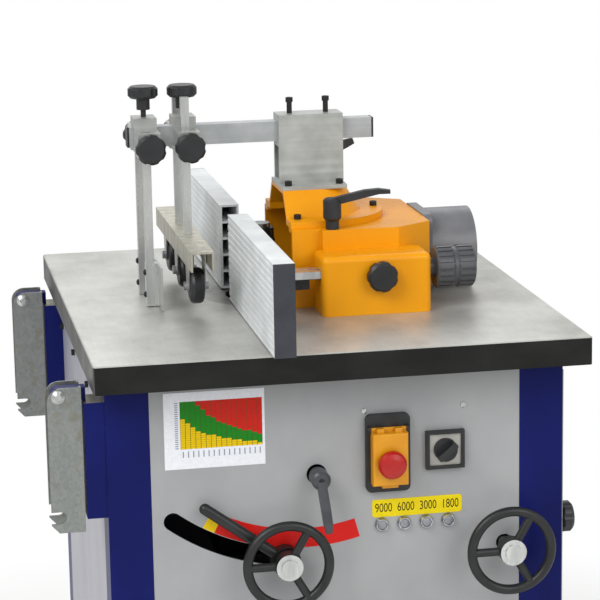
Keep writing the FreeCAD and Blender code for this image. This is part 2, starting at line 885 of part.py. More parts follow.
# The fold-out support arms: folded channels with a hook, hung from a pivot bolt
def make_support_arm(front_in):
    x0 = table_left_x + arm_left_in
    x1 = table_left_x + arm_right_in
    y0 = table_front_y + front_in
    y1 = y0 + arm_depth
    z0 = top_z - arm_bottom_down
    z1 = top_z - arm_top_down
    hook_x = table_left_x + arm_hook_in_x
    hook_z = top_z - arm_hook_down
    outer = box(x0, x1, y0, y1, z0, z1)
    corner = [edge for edge in upright_edges(outer, 1)
              if abs(edge.CenterOfMass.x - x0) < cut_over and abs(edge.CenterOfMass.z - z1) < cut_over]
    outer = outer.makeFillet(arm_corner_radius, corner)
    inner = box(x0 - cut_over, x1 - arm_sheet, y0 + arm_sheet, y1 - arm_sheet, z0 - cut_over, z1 + cut_over)
    arm = outer.cut(inner)
    hook = fused(rod_y(arm_hook_radius, hook_x, y0 - cut_over, y1 + cut_over, hook_z),
                 box(x0 - cut_over, hook_x, y0 - cut_over, y1 + cut_over,
                     hook_z - arm_hook_radius, hook_z + arm_hook_radius))
    bevel = slab_y([(x0 - cut_over, z0 - cut_over), (hook_x, z0 - cut_over),
                    (x0 - cut_over, hook_z - arm_hook_radius)], y0 - cut_over, y1 + cut_over)
    pivot = rod_y(arm_pivot_radius + running_play, table_left_x + arm_pivot_in_x,
                  y0 - cut_over, y1 + cut_over, top_z - arm_pivot_down)
    middle = (y0 + y1) / 2
    gap = arm_lug_width / 2 + arm_slot_play
    slot = box(x1 - arm_sheet - cut_over, x1 + cut_over, middle - gap, middle + gap,
               top_z - arm_slot_down, z1 + cut_over)
    return arm.cut(hook).cut(bevel).cut(pivot).cut(slot)


save("support_arm_front", make_support_arm(arm_front_in_y))
save("support_arm_rear", make_support_arm(arm_rear_in_y))


# Screws and bolts on the cabinet: panel screws, side bolts and the arm pivots
def make_frame_fasteners():
    solids = []
    for x in panel_screw_in_x:
        solids.append(turned([(0, 0), (panel_screw_radius, 0), (panel_screw_radius, panel_screw_head / 2),
                              (panel_screw_radius / 2, panel_screw_head), (0, panel_screw_head)],
                             at(table_left_x + x, cab_front, top_z - panel_screw_down), at(0, -1, 0)))
    for y in side_bolt_in_y:
        solids.append(rod_x(side_bolt_radius, cab_left, cab_left - side_bolt_head, table_front_y + y,
                            top_z - side_bolt_down))
    for front_in in (arm_front_in_y, arm_rear_in_y):
        y0 = table_front_y + front_in
        y1 = y0 + arm_depth
        head = y0 - running_play
        nut = y1 + running_play
        solids.append(turned([(0, -arm_pivot_head), (arm_pivot_head_radius / 2, -arm_pivot_head),
                              (arm_pivot_head_radius, -arm_pivot_head / 3), (arm_pivot_head_radius, 0),
                              (arm_pivot_radius, 0), (arm_pivot_radius, nut - head),
                              (arm_pivot_head_radius, nut - head),
                              (arm_pivot_head_radius, nut - head + arm_pivot_head),
                              (0, nut - head + arm_pivot_head)],
                             at(table_left_x + arm_pivot_in_x, head, top_z - arm_pivot_down), at(0, 1, 0)))
    return solids


save("frame_fasteners", *make_frame_fasteners())


# Panel fittings: the switch housing, the selector's base and the four speed lamps
switch_left = table_left_x + switch_left_in
switch_right = table_left_x + switch_right_in
switch_mid = (switch_left + switch_right) / 2
switch_top = top_z - switch_top_down
switch_bottom = top_z - switch_bottom_down
switch_face = cab_front - switch_plate
lid_left = switch_left + lid_side_inset
lid_right = switch_right - lid_side_inset
lid_axis_y = switch_face - lid_pin_radius - lid_gap
lid_axis_z = switch_top - lid_top_gap
start_z = top_z - start_down
mushroom_z = top_z - mushroom_down
selector_x = table_left_x + selector_left_in + selector_side / 2
selector_z = top_z - selector_top_down - selector_side / 2
selector_face = cab_front - selector_plate


def make_switch_housing():
    plate = box(switch_left, switch_right, switch_face, cab_front, switch_bottom, switch_top)
    plate = plate.makeFillet(switch_corner_radius, upright_edges(plate, 1))
    body = box(switch_left + switch_body_inset, switch_right - switch_body_inset, cab_front,
               cab_front + switch_body_depth, switch_bottom + switch_body_inset,
               switch_top - switch_body_inset)
    lugs = []
    for x in (lid_left - lid_lug - sliding_play, lid_right + sliding_play):
        lugs.append(box(x, x + lid_lug, lid_axis_y - 2 * lid_pin_radius, switch_face,
                        lid_axis_z - 2 * lid_pin_radius, lid_axis_z + 2 * lid_pin_radius))
    pin = rod_x(lid_pin_radius + running_play, switch_left - cut_over, switch_right + cut_over,
                lid_axis_y, lid_axis_z)
    well = rod_y(start_radius + sliding_play, switch_mid, switch_face - cut_over,
                 switch_face + start_depth + start_travel + sliding_play, start_z)
    return fused(plate, body, *lugs).cut(pin).cut(well)


def make_selector_base():
    plate = box(selector_x - selector_side / 2, selector_x + selector_side / 2, selector_face, cab_front,
                selector_z - selector_side / 2, selector_z + selector_side / 2)
    half = selector_body_side / 2
    body = box(selector_x - half, selector_x + half, cab_front, cab_front + switch_body_depth,
               selector_z - half, selector_z + half)
    bore = rod_y(selector_stem_radius + running_play, selector_x, selector_face - cut_over,
                 cab_front + switch_body_depth / 2, selector_z)
    return fused(plate, body).cut(bore)


def make_lamp(index):
    ring = lamp_radius - lamp_lens_radius
    return turned([(0, -lamp_body), (lamp_lens_radius, -lamp_body), (lamp_lens_radius, 0), (lamp_radius, 0),
                   (lamp_radius, lamp_proud / 2), (lamp_radius - ring / 2, lamp_proud),
                   (lamp_lens_radius, lamp_proud), (lamp_lens_radius, lamp_proud / 2), (0, lamp_proud)],
                  at(table_left_x + lamp_first_in + index * lamp_pitch, cab_front, top_z - lamp_down),
                  at(0, -1, 0))


lamps = [make_lamp(lamp) for lamp in range(lamp_count)]
save("panel_fittings", make_switch_housing(), make_selector_base(), *lamps)


# The yellow stop lid, the red mushroom on it, the start button under it, and the selector
def make_stop_lid():
    front = switch_face - lid_gap - lid_depth
    back = switch_face - lid_gap
    low = lid_axis_z - lid_length
    high = lid_axis_z - 2 * lid_pin_radius
    shell = box(lid_left, lid_right, front, back, low, high)
    shell = shell.makeFillet(lid_wall, [edge for edge in shell.Edges if edge.BoundBox.YMax < back - cut_over])
    hollow = box(lid_left + lid_wall, lid_right - lid_wall, front + lid_wall, back + cut_over,
                 low + lid_wall, high - lid_wall)
    hole = rod_y(mushroom_stem_radius + running_play, switch_mid, front - cut_over,
                 front + lid_wall + cut_over, mushroom_z)
    pin = rod_x(lid_pin_radius, lid_left - lid_lug, lid_right + lid_lug, lid_axis_y, lid_axis_z)
    arm = box(lid_left, lid_right, lid_axis_y - lid_pin_radius, lid_axis_y + lid_pin_radius / 2,
              high - lid_wall, lid_axis_z)
    return fused(shell.cut(hollow).cut(hole), pin, arm)


save("stop_lid", make_stop_lid())
lid_front = switch_face - lid_gap - lid_depth
mushroom_base = mushroom_travel + sliding_play
mushroom_foot = mushroom_travel + lid_wall - lid_depth
crown = [(mushroom_radius * wide, mushroom_base + mushroom_head * tall)
         for wide, tall in mushroom_crown_shares]
save("stop_mushroom", turned(
    [(0, mushroom_foot), (mushroom_stem_radius, mushroom_foot), (mushroom_stem_radius, mushroom_base),
     (mushroom_radius, mushroom_base)] + crown + [(0, mushroom_base + mushroom_head)],
    at(switch_mid, lid_front, mushroom_z), at(0, -1, 0)))
save("start_button", rod_y(start_radius, switch_mid, switch_face - start_proud,
                           switch_face + start_depth, start_z))


def make_selector_knob():
    base = switch_gap_face - selector_knob_base
    disc = rod_y(selector_knob_radius, selector_x, switch_gap_face, base, selector_z)
    stem = rod_y(selector_stem_radius, selector_x, switch_gap_face, cab_front, selector_z)
    grip = box(selector_x - selector_grip_width / 2, selector_x + selector_grip_width / 2,
               base - selector_grip_height, base, selector_z - selector_knob_radius,
               selector_z + selector_knob_radius)
    grip = grip.makeFillet(selector_grip_width / 3, upright_edges(grip, 1))
    grip.rotate(at(selector_x, base, selector_z), at(0, 1, 0), selector_rest_deg)
    return fused(disc, grip, stem)


switch_gap_face = selector_face - running_play
save("selector_knob", make_selector_knob())


# The trunnion blocks bolt under the table, with an arc slot about the tilt axis
def make_trunnion(front_in, with_lug):
    y0 = table_front_y + front_in
    y1 = y0 + trunnion_thickness
    block = box(spindle_x - trunnion_half_width, spindle_x + trunnion_half_width, y0, y1,
                top_z - trunnion_bottom_down, under_z)
    slot = arc_band(spindle_x, top_z, trunnion_arc_radius - trunnion_arc_half,
                    trunnion_arc_radius + trunnion_arc_half, -trunnion_arc_deg, trunnion_arc_deg,
                    y0 - cut_over, y1 + cut_over)
    block = block.cut(slot)
    if with_lug:
        lug = box(lock_lever_x - trunnion_lug_half, lock_lever_x + trunnion_lug_half, y0, y1,
                  top_z - trunnion_lug_bottom_down, top_z - trunnion_bottom_down)
        bore = rod_y(tilt_lever_stud_radius + running_play, lock_lever_x, y0 - cut_over, y1 + cut_over,
                     lock_lever_z)
        block = fused(block, lug).cut(bore)
    return block


save("trunnion_blocks", make_trunnion(trunnion_front_in, True), make_trunnion(trunnion_rear_in, False))


# The cradle hangs in the trunnions and carries the guide columns and the toothed tilt sector
def make_cradle():
    half = cradle_half_width
    high = top_z - cradle_top_down
    low = top_z - cradle_bottom_down
    y_front = table_front_y + cradle_front_in
    y_inner = y_front + cradle_plate
    y_far = table_front_y + cradle_rear_in
    y_rear = y_far + cradle_plate
    rib_in = trunnion_arc_radius - trunnion_arc_half + sliding_play
    rib_out = trunnion_arc_radius + trunnion_arc_half - sliding_play
    pieces = [box(spindle_x - half, spindle_x + half, y_front, y_inner, low, high),
              box(spindle_x - half, spindle_x + half, y_far, y_rear, low, high),
              arc_band(spindle_x, top_z, rib_in, rib_out, -rib_half_deg, rib_half_deg,
                       table_front_y + trunnion_front_in + rib_end_gap, y_inner),
              arc_band(spindle_x, top_z, rib_in, rib_out, -rib_half_deg, rib_half_deg, y_far,
                       table_front_y + trunnion_rear_in + trunnion_thickness - rib_end_gap)]
    bar_y0 = lift_screw_y - lift_bar_depth / 2
    bar_y1 = lift_screw_y + lift_bar_depth / 2
    gear_foot = lift_z - mitre_radius - mitre_hub - lift_bar_gap
    for way in (-1, 1):
        pieces.append(box(spindle_x + way * cradle_top_inner, spindle_x + way * half, y_front, y_rear,
                          high - cradle_top_rail, high))
        pieces.append(box(spindle_x + way * cradle_bottom_inner, spindle_x + way * half, y_front, y_rear,
                          low, low + cradle_rail))
        pieces.append(rod_z(guide_radius, spindle_x + way * guide_offset, spindle_y, low + cradle_rail / 2,
                            high - cradle_top_rail / 2))
    pieces.append(box(spindle_x - half, spindle_x + half, bar_y0, bar_y1, gear_foot - lift_bar, gear_foot))
    pieces.append(box(spindle_x - half, spindle_x + half, bar_y0, bar_y1, high - cradle_top_rail, high))
    pieces.append(rod_y(lift_sleeve_radius, lift_x, table_front_y + lift_sleeve_front_in, y_inner, lift_z))
    sector_y0 = table_front_y + sector_front_in
    sector_y1 = sector_y0 + sector_thickness
    spacer_high = top_z - sector_spacer_top_down
    spacer_low = top_z - sector_spacer_bottom_down
    pieces.append(box(spindle_x - sector_spacer_half, spindle_x + sector_spacer_half, sector_y0, y_front,
                      spacer_low, spacer_high))
    step = 360.0 / sector_teeth
    teeth = int((tilt_max_deg + 2 * sector_spare_deg) / step) + 1
    first = round(sector_spare_deg / step)
    start_deg = -tilt_line_deg + first * step
    pitch = gear_module * sector_teeth / 2
    toothed = gear_outline(spindle_x, top_z, sector_teeth, start_deg - (teeth - 1) * step, False, 0, teeth)
    from_deg = start_deg - (teeth - 1) * step - step / 2
    to_deg = start_deg + step / 2
    inner = pitch - sector_rim
    arc_steps = 12
    back_arc = [polar(spindle_x, top_z, inner, to_deg + (from_deg - to_deg) * k / arc_steps)
                for k in range(arc_steps + 1)]
    pieces.append(slab_y(toothed + back_arc, sector_y0, sector_y1))
    near = polar(spindle_x, top_z, inner + cut_over, to_deg)
    far = polar(spindle_x, top_z, pitch - sector_rim / 3, to_deg - step)
    mid = polar(spindle_x, top_z, inner + cut_over, to_deg - 3 * step)
    spacer_left = spindle_x - sector_spacer_half
    spacer_right = spindle_x + sector_spacer_half
    pieces.append(slab_y([(spacer_left, spacer_high), (spacer_right, spacer_high), mid, near, far,
                          (spacer_right, spacer_low), (spacer_left, spacer_low)], sector_y0, sector_y1))
    cradle = fused(*pieces)
    holes = [rod_y(lift_shaft_radius + running_play, lift_x, table_front_y + lift_sleeve_front_in - cut_over,
                   y_inner + cut_over, lift_z),
             rod_z(lift_screw_radius + running_play, lift_x, lift_screw_y, low - cut_over,
                   gear_foot + cut_over),
             rod_z(lift_screw_radius + running_play, lift_x, lift_screw_y, high - cradle_top_rail - cut_over,
                   high + cut_over)]
    for hole in holes:
        cradle = cradle.cut(hole)
    return cradle


save("tilt_cradle", make_cradle())


# The tilt gears: handwheel gear, reduction wheel and pinion, on a bearing bracket
def make_handwheel(x, z):
    y0 = table_front_y + wheel_front_in
    middle = y0 + wheel_hub_length / 2
    rim = Part.makeTorus(wheel_rim_radius, wheel_rim_tube, at(x, middle, z), at(0, 1, 0))
    hub = rod_y(wheel_hub_radius, x, y0, y0 + wheel_hub_length, z)
    spokes = []
    for spoke in range(wheel_spokes):
        turn = 2 * math.pi * (spoke + wheel_spoke_turn_share) / wheel_spokes
        spokes.append(Part.makeCylinder(wheel_spoke_radius, wheel_rim_radius, at(x, middle, z),
                                        at(math.sin(turn), 0, math.cos(turn))))
    bore = rod_y(lift_shaft_radius, x, y0, y0 + wheel_hub_length + cut_over, z)
    return hub.multiFuse([rim] + spokes).cut(bore)


def make_shaft(x, z, end_y, radius):
    y0 = table_front_y + wheel_front_in
    return fused(rod_y(radius, x, y0, end_y, z), rod_y(wheel_cap_radius, x, y0 - wheel_cap, y0, z))


pinion_y0 = table_front_y + sector_front_in - (pinion_width - sector_thickness) / 2
wheel_y0 = table_front_y + wheel_gear_front_in
wheel_y1 = wheel_y0 + wheel_gear_width
bracket_y0 = table_front_y + gear_bracket_front_in
bracket_y1 = bracket_y0 + gear_bracket_thickness
to_pivot_deg = 180.0 - tilt_line_deg
from_pivot_deg = -tilt_line_deg
hand_gear = slab_y(gear_outline(tilt_wheel_x, tilt_wheel_z, hand_gear_teeth, to_pivot_deg),
                   wheel_y0, wheel_y1)
tilt_shaft = fused(make_shaft(tilt_wheel_x, tilt_wheel_z, wheel_y1, tilt_shaft_radius), hand_gear)
save("tilt_handwheel", make_handwheel(tilt_wheel_x, tilt_wheel_z), tilt_shaft)
reduction = slab_y(gear_outline(pinion_x, pinion_z, wheel_gear_teeth, from_pivot_deg, True),
                   wheel_y0, wheel_y1)
pinion = slab_y(gear_outline(pinion_x, pinion_z, pinion_teeth, to_pivot_deg, True),
                pinion_y0, pinion_y0 + pinion_width)
pinion_rod = rod_y(pinion_shaft_radius, pinion_x, bracket_y0, pinion_y0 + pinion_width, pinion_z)
save("tilt_pinion_shaft", fused(reduction, pinion, pinion_rod))


def make_gear_bracket():
    right = cab_right - post_wall
    margin = gear_bracket_margin
    low = tilt_wheel_z - margin
    high = pinion_z + margin
    plate = slab_y([(pinion_x - margin, high), (pinion_x - margin, pinion_z - margin),
                    (tilt_wheel_x - margin, low), (right, low), (right, high)], bracket_y0, bracket_y1)
    web = box(right - gear_bracket_web, right, cab_front + post_wall, bracket_y1, low, high)
    bearings = fused(plate, web)
    for radius, x, z in ((tilt_shaft_radius, tilt_wheel_x, tilt_wheel_z),
                         (pinion_shaft_radius, pinion_x, pinion_z)):
        bearings = bearings.cut(rod_y(radius + running_play, x, bracket_y0 - cut_over,
                                      bracket_y1 + cut_over, z))
    return bearings


save("tilt_gear_bracket", make_gear_bracket())


# The lift drive: handwheel shaft and screw joined by a pair of equal mitre gears
def mitre_gear(apex, along, across, aim_share):
    """A 45 degree bevel gear whose cone opens from its apex along a direction.

    Each tooth is a four-sided wedge that shrinks towards the apex. The first tooth
    points along across, turned by a share of one tooth step.
    """
    step = 360.0 / mitre_teeth
    small = 1.0 - mitre_face_share
    slope = math.sqrt(0.5)
    arc = 2 * math.pi * mitre_radius / mitre_teeth
    tip = (mitre_radius + mitre_tip * slope, mitre_radius - mitre_tip * slope)
    root = (mitre_radius - mitre_root * slope, mitre_radius + mitre_root * slope)
    tip_half = arc * tooth_tip_share
    root_half = arc * tooth_root_share
    blank = turned([(0, root[1] * small), (root[0] * small, root[1] * small), (root[0], root[1]),
                    (mitre_hub_radius, root[1]), (mitre_hub_radius, mitre_radius + mitre_hub),
                    (0, mitre_radius + mitre_hub)], at(0, 0, 0), at(0, 0, 1))
    teeth = []
    for tooth in range(mitre_teeth):
        rings = []
        for scale in (small, 1.0):
            sink = mitre_root * slope * mitre_sink_share
            corners = [at((root[0] - sink) * scale, -root_half * scale, (root[1] + sink) * scale),
                       at((root[0] - sink) * scale, root_half * scale, (root[1] + sink) * scale),
                       at(tip[0] * scale, tip_half * scale, tip[1] * scale),
                       at(tip[0] * scale, -tip_half * scale, tip[1] * scale)]
            rings.append(Part.makePolygon(corners + corners[:1]))
        wedge = Part.makeLoft(rings, True, True)
        wedge.rotate(at(0, 0, 0), at(0, 0, 1), step * (tooth + aim_share))
        teeth.append(wedge)
    gear = blank.multiFuse(teeth)
    side = along.cross(across)
    turn = FreeCAD.Matrix(across.x, side.x, along.x, apex.x, across.y, side.y, along.y, apex.y,
                          across.z, side.z, along.z, apex.z, 0, 0, 0, 1)
    gear.Placement = FreeCAD.Placement(turn)
    return gear


mitre_apex = at(lift_x, lift_screw_y, lift_z)
lift_pinion = mitre_gear(mitre_apex, at(0, -1, 0), at(0, 0, -1), 0)
lift_end = lift_screw_y - mitre_radius * (1 - mitre_face_share)
lift_rod = make_shaft(lift_x, lift_z, lift_end, lift_shaft_radius)
save("lift_handwheel", make_handwheel(lift_x, lift_z), lift_rod.multiFuse([lift_pinion]))
lift_wheel_gear = mitre_gear(mitre_apex, at(0, 0, -1), at(0, -1, 0), 0.5)
lift_bar_low = lift_z - mitre_radius - mitre_hub - lift_bar_gap - lift_bar
lift_column = [rod_z(lift_screw_radius, lift_x, lift_screw_y, lift_bar_low, lift_z - mitre_radius),
               rod_z(lift_screw_radius, lift_x, lift_screw_y, lift_z + mitre_radius + mitre_tip,
                     top_z - cradle_top_down),
               rod_z(lift_screw_radius / 2, lift_x, lift_screw_y, lift_z - mitre_radius,
                     lift_z + mitre_radius + mitre_tip)]
save("lift_screw", lift_wheel_gear.multiFuse(lift_column))


# The lift lock turns on the shaft's sleeve, in front of the panel
def make_lift_lock():
    y0 = table_front_y + lock_hub_front_in
    y1 = y0 + lock_hub_length
    middle = (y0 + y1) / 2
    reach = math.hypot(lock_reach_x, lock_reach_z)
    way = at(lock_reach_x / reach, 0, lock_reach_z / reach)
    grip = Part.makeCylinder(lock_grip_radius, reach - lock_grip_radius, at(lift_x, middle, lift_z), way)
    end = Part.makeSphere(lock_grip_radius, at(lift_x, middle, lift_z) + way * (reach - lock_grip_radius))
    lever = rod_y(lock_hub_radius, lift_x, y0, y1, lift_z).multiFuse([grip, end])
    return lever.cut(rod_y(lift_sleeve_radius + running_play, lift_x, y0 - cut_over, y1 + cut_over, lift_z))


save("lift_lock_lever", make_lift_lock())
lean = math.radians(tilt_lever_lean_deg)
lever_seat_y = cab_front + tilt_lever_stud_radius
save("tilt_lock_lever", clamp_lever(
    at(lock_lever_x, lever_seat_y, lock_lever_z), at(math.sin(lean), 0, -math.cos(lean)), at(0, -1, 0),
    tilt_lever_reach, tilt_lever_proud, table_front_y + trunnion_front_in + trunnion_thickness - lever_seat_y,
    tilt_lever_stud_radius))


# The spindle carriage slides on the guide columns and holds the bearings and the motor
def make_carriage():
    x0 = spindle_x - carriage_half_width
    x1 = spindle_x + carriage_half_width
    y0 = spindle_y - carriage_half_depth
    y1 = spindle_y + carriage_half_depth
    high = top_z - carriage_top_down
    low = top_z - carriage_bottom_down
    pieces = [box(x0, x1, y0, y1, low, high)]
    ear_reach = guide_offset + ear_width / 2
    for ear_high in (top_z - ear_top_down, low + ear_height):
        pieces.append(box(spindle_x - ear_reach, spindle_x + ear_reach, spindle_y - ear_half_depth,
                          spindle_y + ear_half_depth, ear_high - ear_height, ear_high))
    nut_high = top_z - nut_top_down
    pieces.append(box(lift_x - nut_half_width, lift_x + nut_half_width, lift_screw_y - nut_front_reach,
                      y0 + cut_over, nut_high - nut_height, nut_high))
    pieces.append(box(spindle_x - motor_plate_half, spindle_x + motor_plate_half, y1 - cut_over,
                      motor_y + motor_plate_half, low - motor_plate / 2, low + motor_plate / 2))
    carriage = fused(*pieces)
    plate_low = low - motor_plate
    seat = bearing_inset + bearing_width
    holes = [rod_z(bearing_radius, spindle_x, spindle_y, high - seat, high + cut_over),
             rod_z(bearing_radius, spindle_x, spindle_y, low - cut_over, low + seat),
             rod_z(bearing_radius - bearing_inset, spindle_x, spindle_y, low, high),
             rod_z(lift_screw_radius + sliding_play, lift_x, lift_screw_y, nut_high - nut_height - cut_over,
                   nut_high + cut_over),
             rod_z(motor_hole_radius, spindle_x, motor_y, plate_low, low + motor_plate)]
    for way in (-1, 1):
        holes.append(rod_z(guide_radius + running_play, spindle_x + way * guide_offset, spindle_y,
                           plate_low, high))
    for hole in holes:
        carriage = carriage.cut(hole)
    return carriage


save("spindle_carriage", make_carriage())


def make_bearing(low):
    outer = rod_z(bearing_radius, spindle_x, spindle_y, low, low + bearing_width)
    return outer.cut(rod_z(spindle_radius + running_play, spindle_x, spindle_y, low - cut_over,
                           low + bearing_width + cut_over))


save("spindle_bearings", make_bearing(top_z - carriage_top_down - bearing_inset - bearing_width),
     make_bearing(top_z - carriage_bottom_down + bearing_inset))


def make_motor():
    low = top_z - carriage_bottom_down + motor_plate / 2
    high = low + motor_length
    body = rod_z(motor_radius - motor_fin_depth, spindle_x, motor_y, low, high)
    ends = [rod_z(motor_radius, spindle_x, motor_y, low, low + motor_end),
            rod_z(motor_radius, spindle_x, motor_y, high - motor_end, high)]
    fins = []
    for fin in range(motor_fins):
        blade = box(spindle_x + motor_radius - 2 * motor_fin_depth, spindle_x + motor_radius,
                    motor_y - motor_fin_width / 2, motor_y + motor_fin_width / 2, low, high)
        blade.rotate(at(spindle_x, motor_y, low), at(0, 0, 1), 360.0 * fin / motor_fins)
        fins.append(blade.common(rod_z(motor_radius, spindle_x, motor_y, low, high)))
    middle = (low + high) / 2
    terminal = box(spindle_x - motor_box_width / 2, spindle_x + motor_box_width / 2, motor_y,
                   motor_y + motor_radius + motor_box_depth / 2, middle - motor_box_height / 2,
                   middle + motor_box_height / 2)
    motor = body.multiFuse(ends + fins + [terminal])
    return motor.cut(rod_z(motor_shaft_radius + running_play, spindle_x, motor_y, low - cut_over,
                           low + motor_shaft_depth + running_play))


save("drive_motor", make_motor())


# The turning spindle with its collars and nut, and the stepped pulleys with their belt
def stepped(points_x, points_y, steps, bore):
    high = top_z - pulley_top_down
    rings = []
    for index, radius in enumerate(steps):
        step_top = high - index * step_height
        rings.append(rod_z(radius, points_x, points_y, step_top - step_height, step_top))
    pulley = rings[0].multiFuse(rings[1:])
    return pulley.cut(rod_z(bore, points_x, points_y, high - (len(steps) + 1) * step_height, high + cut_over))


collar_low = top_z - flange_down + flange_height
arbor = fused(rod_z(spindle_radius, spindle_x, spindle_y, top_z - spindle_bottom_down,
                    top_z + spindle_top_up),
              rod_z(flange_radius, spindle_x, spindle_y, top_z - flange_down, collar_low))
collars = []
collar_step = (top_z + collar_top_up - collar_low) / collar_count
for collar in range(collar_count):
    ring = rod_z(collar_radius, spindle_x, spindle_y, collar_low + collar * collar_step,
                 collar_low + (collar + 1) * collar_step)
    collars.append(ring.cut(rod_z(spindle_radius, spindle_x, spindle_y, collar_low - cut_over,
                                  top_z + collar_top_up + cut_over)))
nut_low = top_z + collar_top_up
spindle_nut = rod_z(nut_radius, spindle_x, spindle_y, nut_low, nut_low + nut_thickness)
spindle_nut = spindle_nut.cut(rod_z(spindle_radius, spindle_x, spindle_y, top_z,
                                    top_z + spindle_top_up + cut_over))
save("spindle_shaft", arbor, *collars, spindle_nut)
save("spindle_pulley", stepped(spindle_x, spindle_y, spindle_steps, spindle_radius))
motor_low = top_z - carriage_bottom_down + motor_plate / 2
motor_rod = rod_z(motor_shaft_radius, spindle_x, motor_y,
                  top_z - pulley_top_down - len(motor_steps) * step_height, motor_low + motor_shaft_depth)
save("motor_pulley", stepped(spindle_x, motor_y, motor_steps, motor_shaft_radius).fuse(motor_rod))


def belt_outline(grow):
    """Two arcs round the pulleys joined by their outer tangents, at a distance outside both."""
    small = spindle_steps[belt_step] + grow
    large = motor_steps[belt_step] + grow
    span = motor_y - spindle_y
    lean_in = math.asin((small - large) / span)
    dx = math.cos(lean_in)
    dy = math.sin(lean_in)
    z = top_z - pulley_top_down - (belt_step + 0.5) * step_height - belt_width / 2
    a = at(spindle_x + small * dx, spindle_y + small * dy, z)
    b = at(spindle_x - small * dx, spindle_y + small * dy, z)
    c = at(spindle_x - large * dx, motor_y + large * dy, z)
    d = at(spindle_x + large * dx, motor_y + large * dy, z)
    wire = Part.Wire([Part.Arc(a, at(spindle_x, spindle_y - small, z), b).toShape(), Part.makeLine(b, c),
                      Part.Arc(c, at(spindle_x, motor_y + large, z), d).toShape(), Part.makeLine(d, a)])
    return Part.Face(wire).extrude(at(0, 0, belt_width))


save("drive_belt", belt_outline(sliding_play + belt_thickness).cut(belt_outline(sliding_play)))


# The fence plates: ribbed extrusions with a grooved face and a tee slot in the back
def make_fence_plate(start_in, end_in, capped):
    x0 = table_left_x + fence_face_in
    x1 = x0 + plate_thickness
    z0 = top_z + plate_lift
    z1 = z0 + plate_height
    y0 = table_front_y + start_in
    y1 = table_front_y + end_in
    outline = [(x1, z0), (x1, z1), (x0, z1)]
    pitch = plate_height / groove_count
    for groove in range(groove_count):
        middle = z1 - (groove + 0.5) * pitch
        half = pitch * groove_share / 2
        outline += [(x0, middle + half), (x0 + groove_depth, middle + half * groove_share),
                    (x0 + groove_depth, middle - half * groove_share), (x0, middle - half)]
    outline.append((x0, z0))
    plate = slab_y(outline, y0, y1)
    slot_z = top_z + bar_top_up - bar_thickness / 2
    back = x1 - tee_neck_depth - tee_head_depth
    spine = tee_head / 2 + plate_wall
    cell = (plate_height - plate_wall) / plate_cells
    inner_x = x0 + plate_wall + groove_depth
    for index in range(plate_cells):
        low = z0 + plate_wall + index * cell
        high = low + cell - plate_wall
        clear_of_slot = high < slot_z - spine or low > slot_z + spine
        plate = plate.cut(box(inner_x, x1 - plate_wall if clear_of_slot else back - plate_wall,
                              y0 - cut_over, y1 + cut_over, low, high))
    neck = box(x1 - tee_neck_depth, x1 + cut_over, y0 - cut_over, y1 + cut_over,
               slot_z - tee_neck / 2, slot_z + tee_neck / 2)
    head = box(back, x1 - tee_neck_depth, y0 - cut_over, y1 + cut_over,
               slot_z - tee_head / 2, slot_z + tee_head / 2)
    plate = plate.cut(neck).cut(head)
    if not capped:
        return [plate]
    cap_y = y0 - plate_cap if capped < 0 else y1
    return [plate, box(x0, x1, cap_y, cap_y + plate_cap, z0, z1)]


def make_fence_bar(way):
    """The bar behind a fence plate, on the front side for -1 and the rear side for 1."""
    middle = spindle_y + way * (spindle_in_y - bar_in_y)
    x0 = table_left_x + fence_face_in + plate_thickness
    x1 = table_left_x + bar_end_in
    high = top_z + bar_top_up
    low = high - bar_thickness
    y0 = middle - bar_depth / 2
    y1 = middle + bar_depth / 2
    bar = box(x0, x1, y0, y1, low, high)
    slot_z = high - bar_thickness / 2
    play = sliding_play
    neck_half = tee_neck / 2 - play
    head_half = tee_head / 2 - play
    tongue = fused(box(x0 - tee_neck_depth - play, x0, y0, y1, slot_z - neck_half, slot_z + neck_half),
                   box(x0 - tee_neck_depth - tee_head_depth + play, x0 - tee_neck_depth - play, y0, y1,
                       slot_z - head_half, slot_z + head_half))
    block = box(x0, x0 + bar_block_length, middle - bar_block_depth / 2, middle + bar_block_depth / 2,
                low - bar_block_height, low)
    groove = box(x0 - cut_over, x1 + cut_over, middle - bar_groove, middle + bar_groove,
                 high - bar_groove_depth, high + cut_over)
    bar = fused(bar, tongue).cut(groove)
    bore = rod_x(fine_screw_radius + sliding_play, x1 - bar_bore_depth, x1 + cut_over, middle, slot_z)
    if way < 0:
        boss = rod_x(fine_screw_radius + plate_wall, x1 - bar_bore_depth, x1, middle, slot_z)
        bar = fused(bar, boss).cut(bore)
    return [bar, block]


save("front_fence_plate", *make_fence_plate(front_plate_start_in, front_plate_end_in, -1))
save("rear_fence_plate", *make_fence_plate(rear_plate_start_in, rear_plate_end_in, 1))
save("front_fence_bar", *make_fence_bar(-1))
save("rear_fence_bar", *make_fence_bar(1))


# The hood: a cast body open to the cutter, with a closed box for each fence bar
def mirrored(y):
    return 2 * spindle_y - y


def hood_outline(inset):
    """The hood's plan, drawn in by the same distance all round and mirrored about the spindle."""
    lean_in = math.atan2(hood_corner_in - hood_block_in, hood_right_in - hood_chamfer_in)
    near = inset * math.tan((math.pi / 2 - lean_in) / 2)
    far = inset * math.tan(lean_in / 2)
    half = [(hood_left_in, hood_front_in + inset), (hood_step_in + inset, hood_front_in + inset),
            (hood_step_in + inset, hood_block_in + inset), (hood_chamfer_in - far, hood_block_in + inset),
            (hood_right_in - inset, hood_corner_in + near)]
    near_side = [(table_left_x + x, table_front_y + y) for x, y in half]
    return near_side + [(x, mirrored(y)) for x, y in reversed(near_side)]


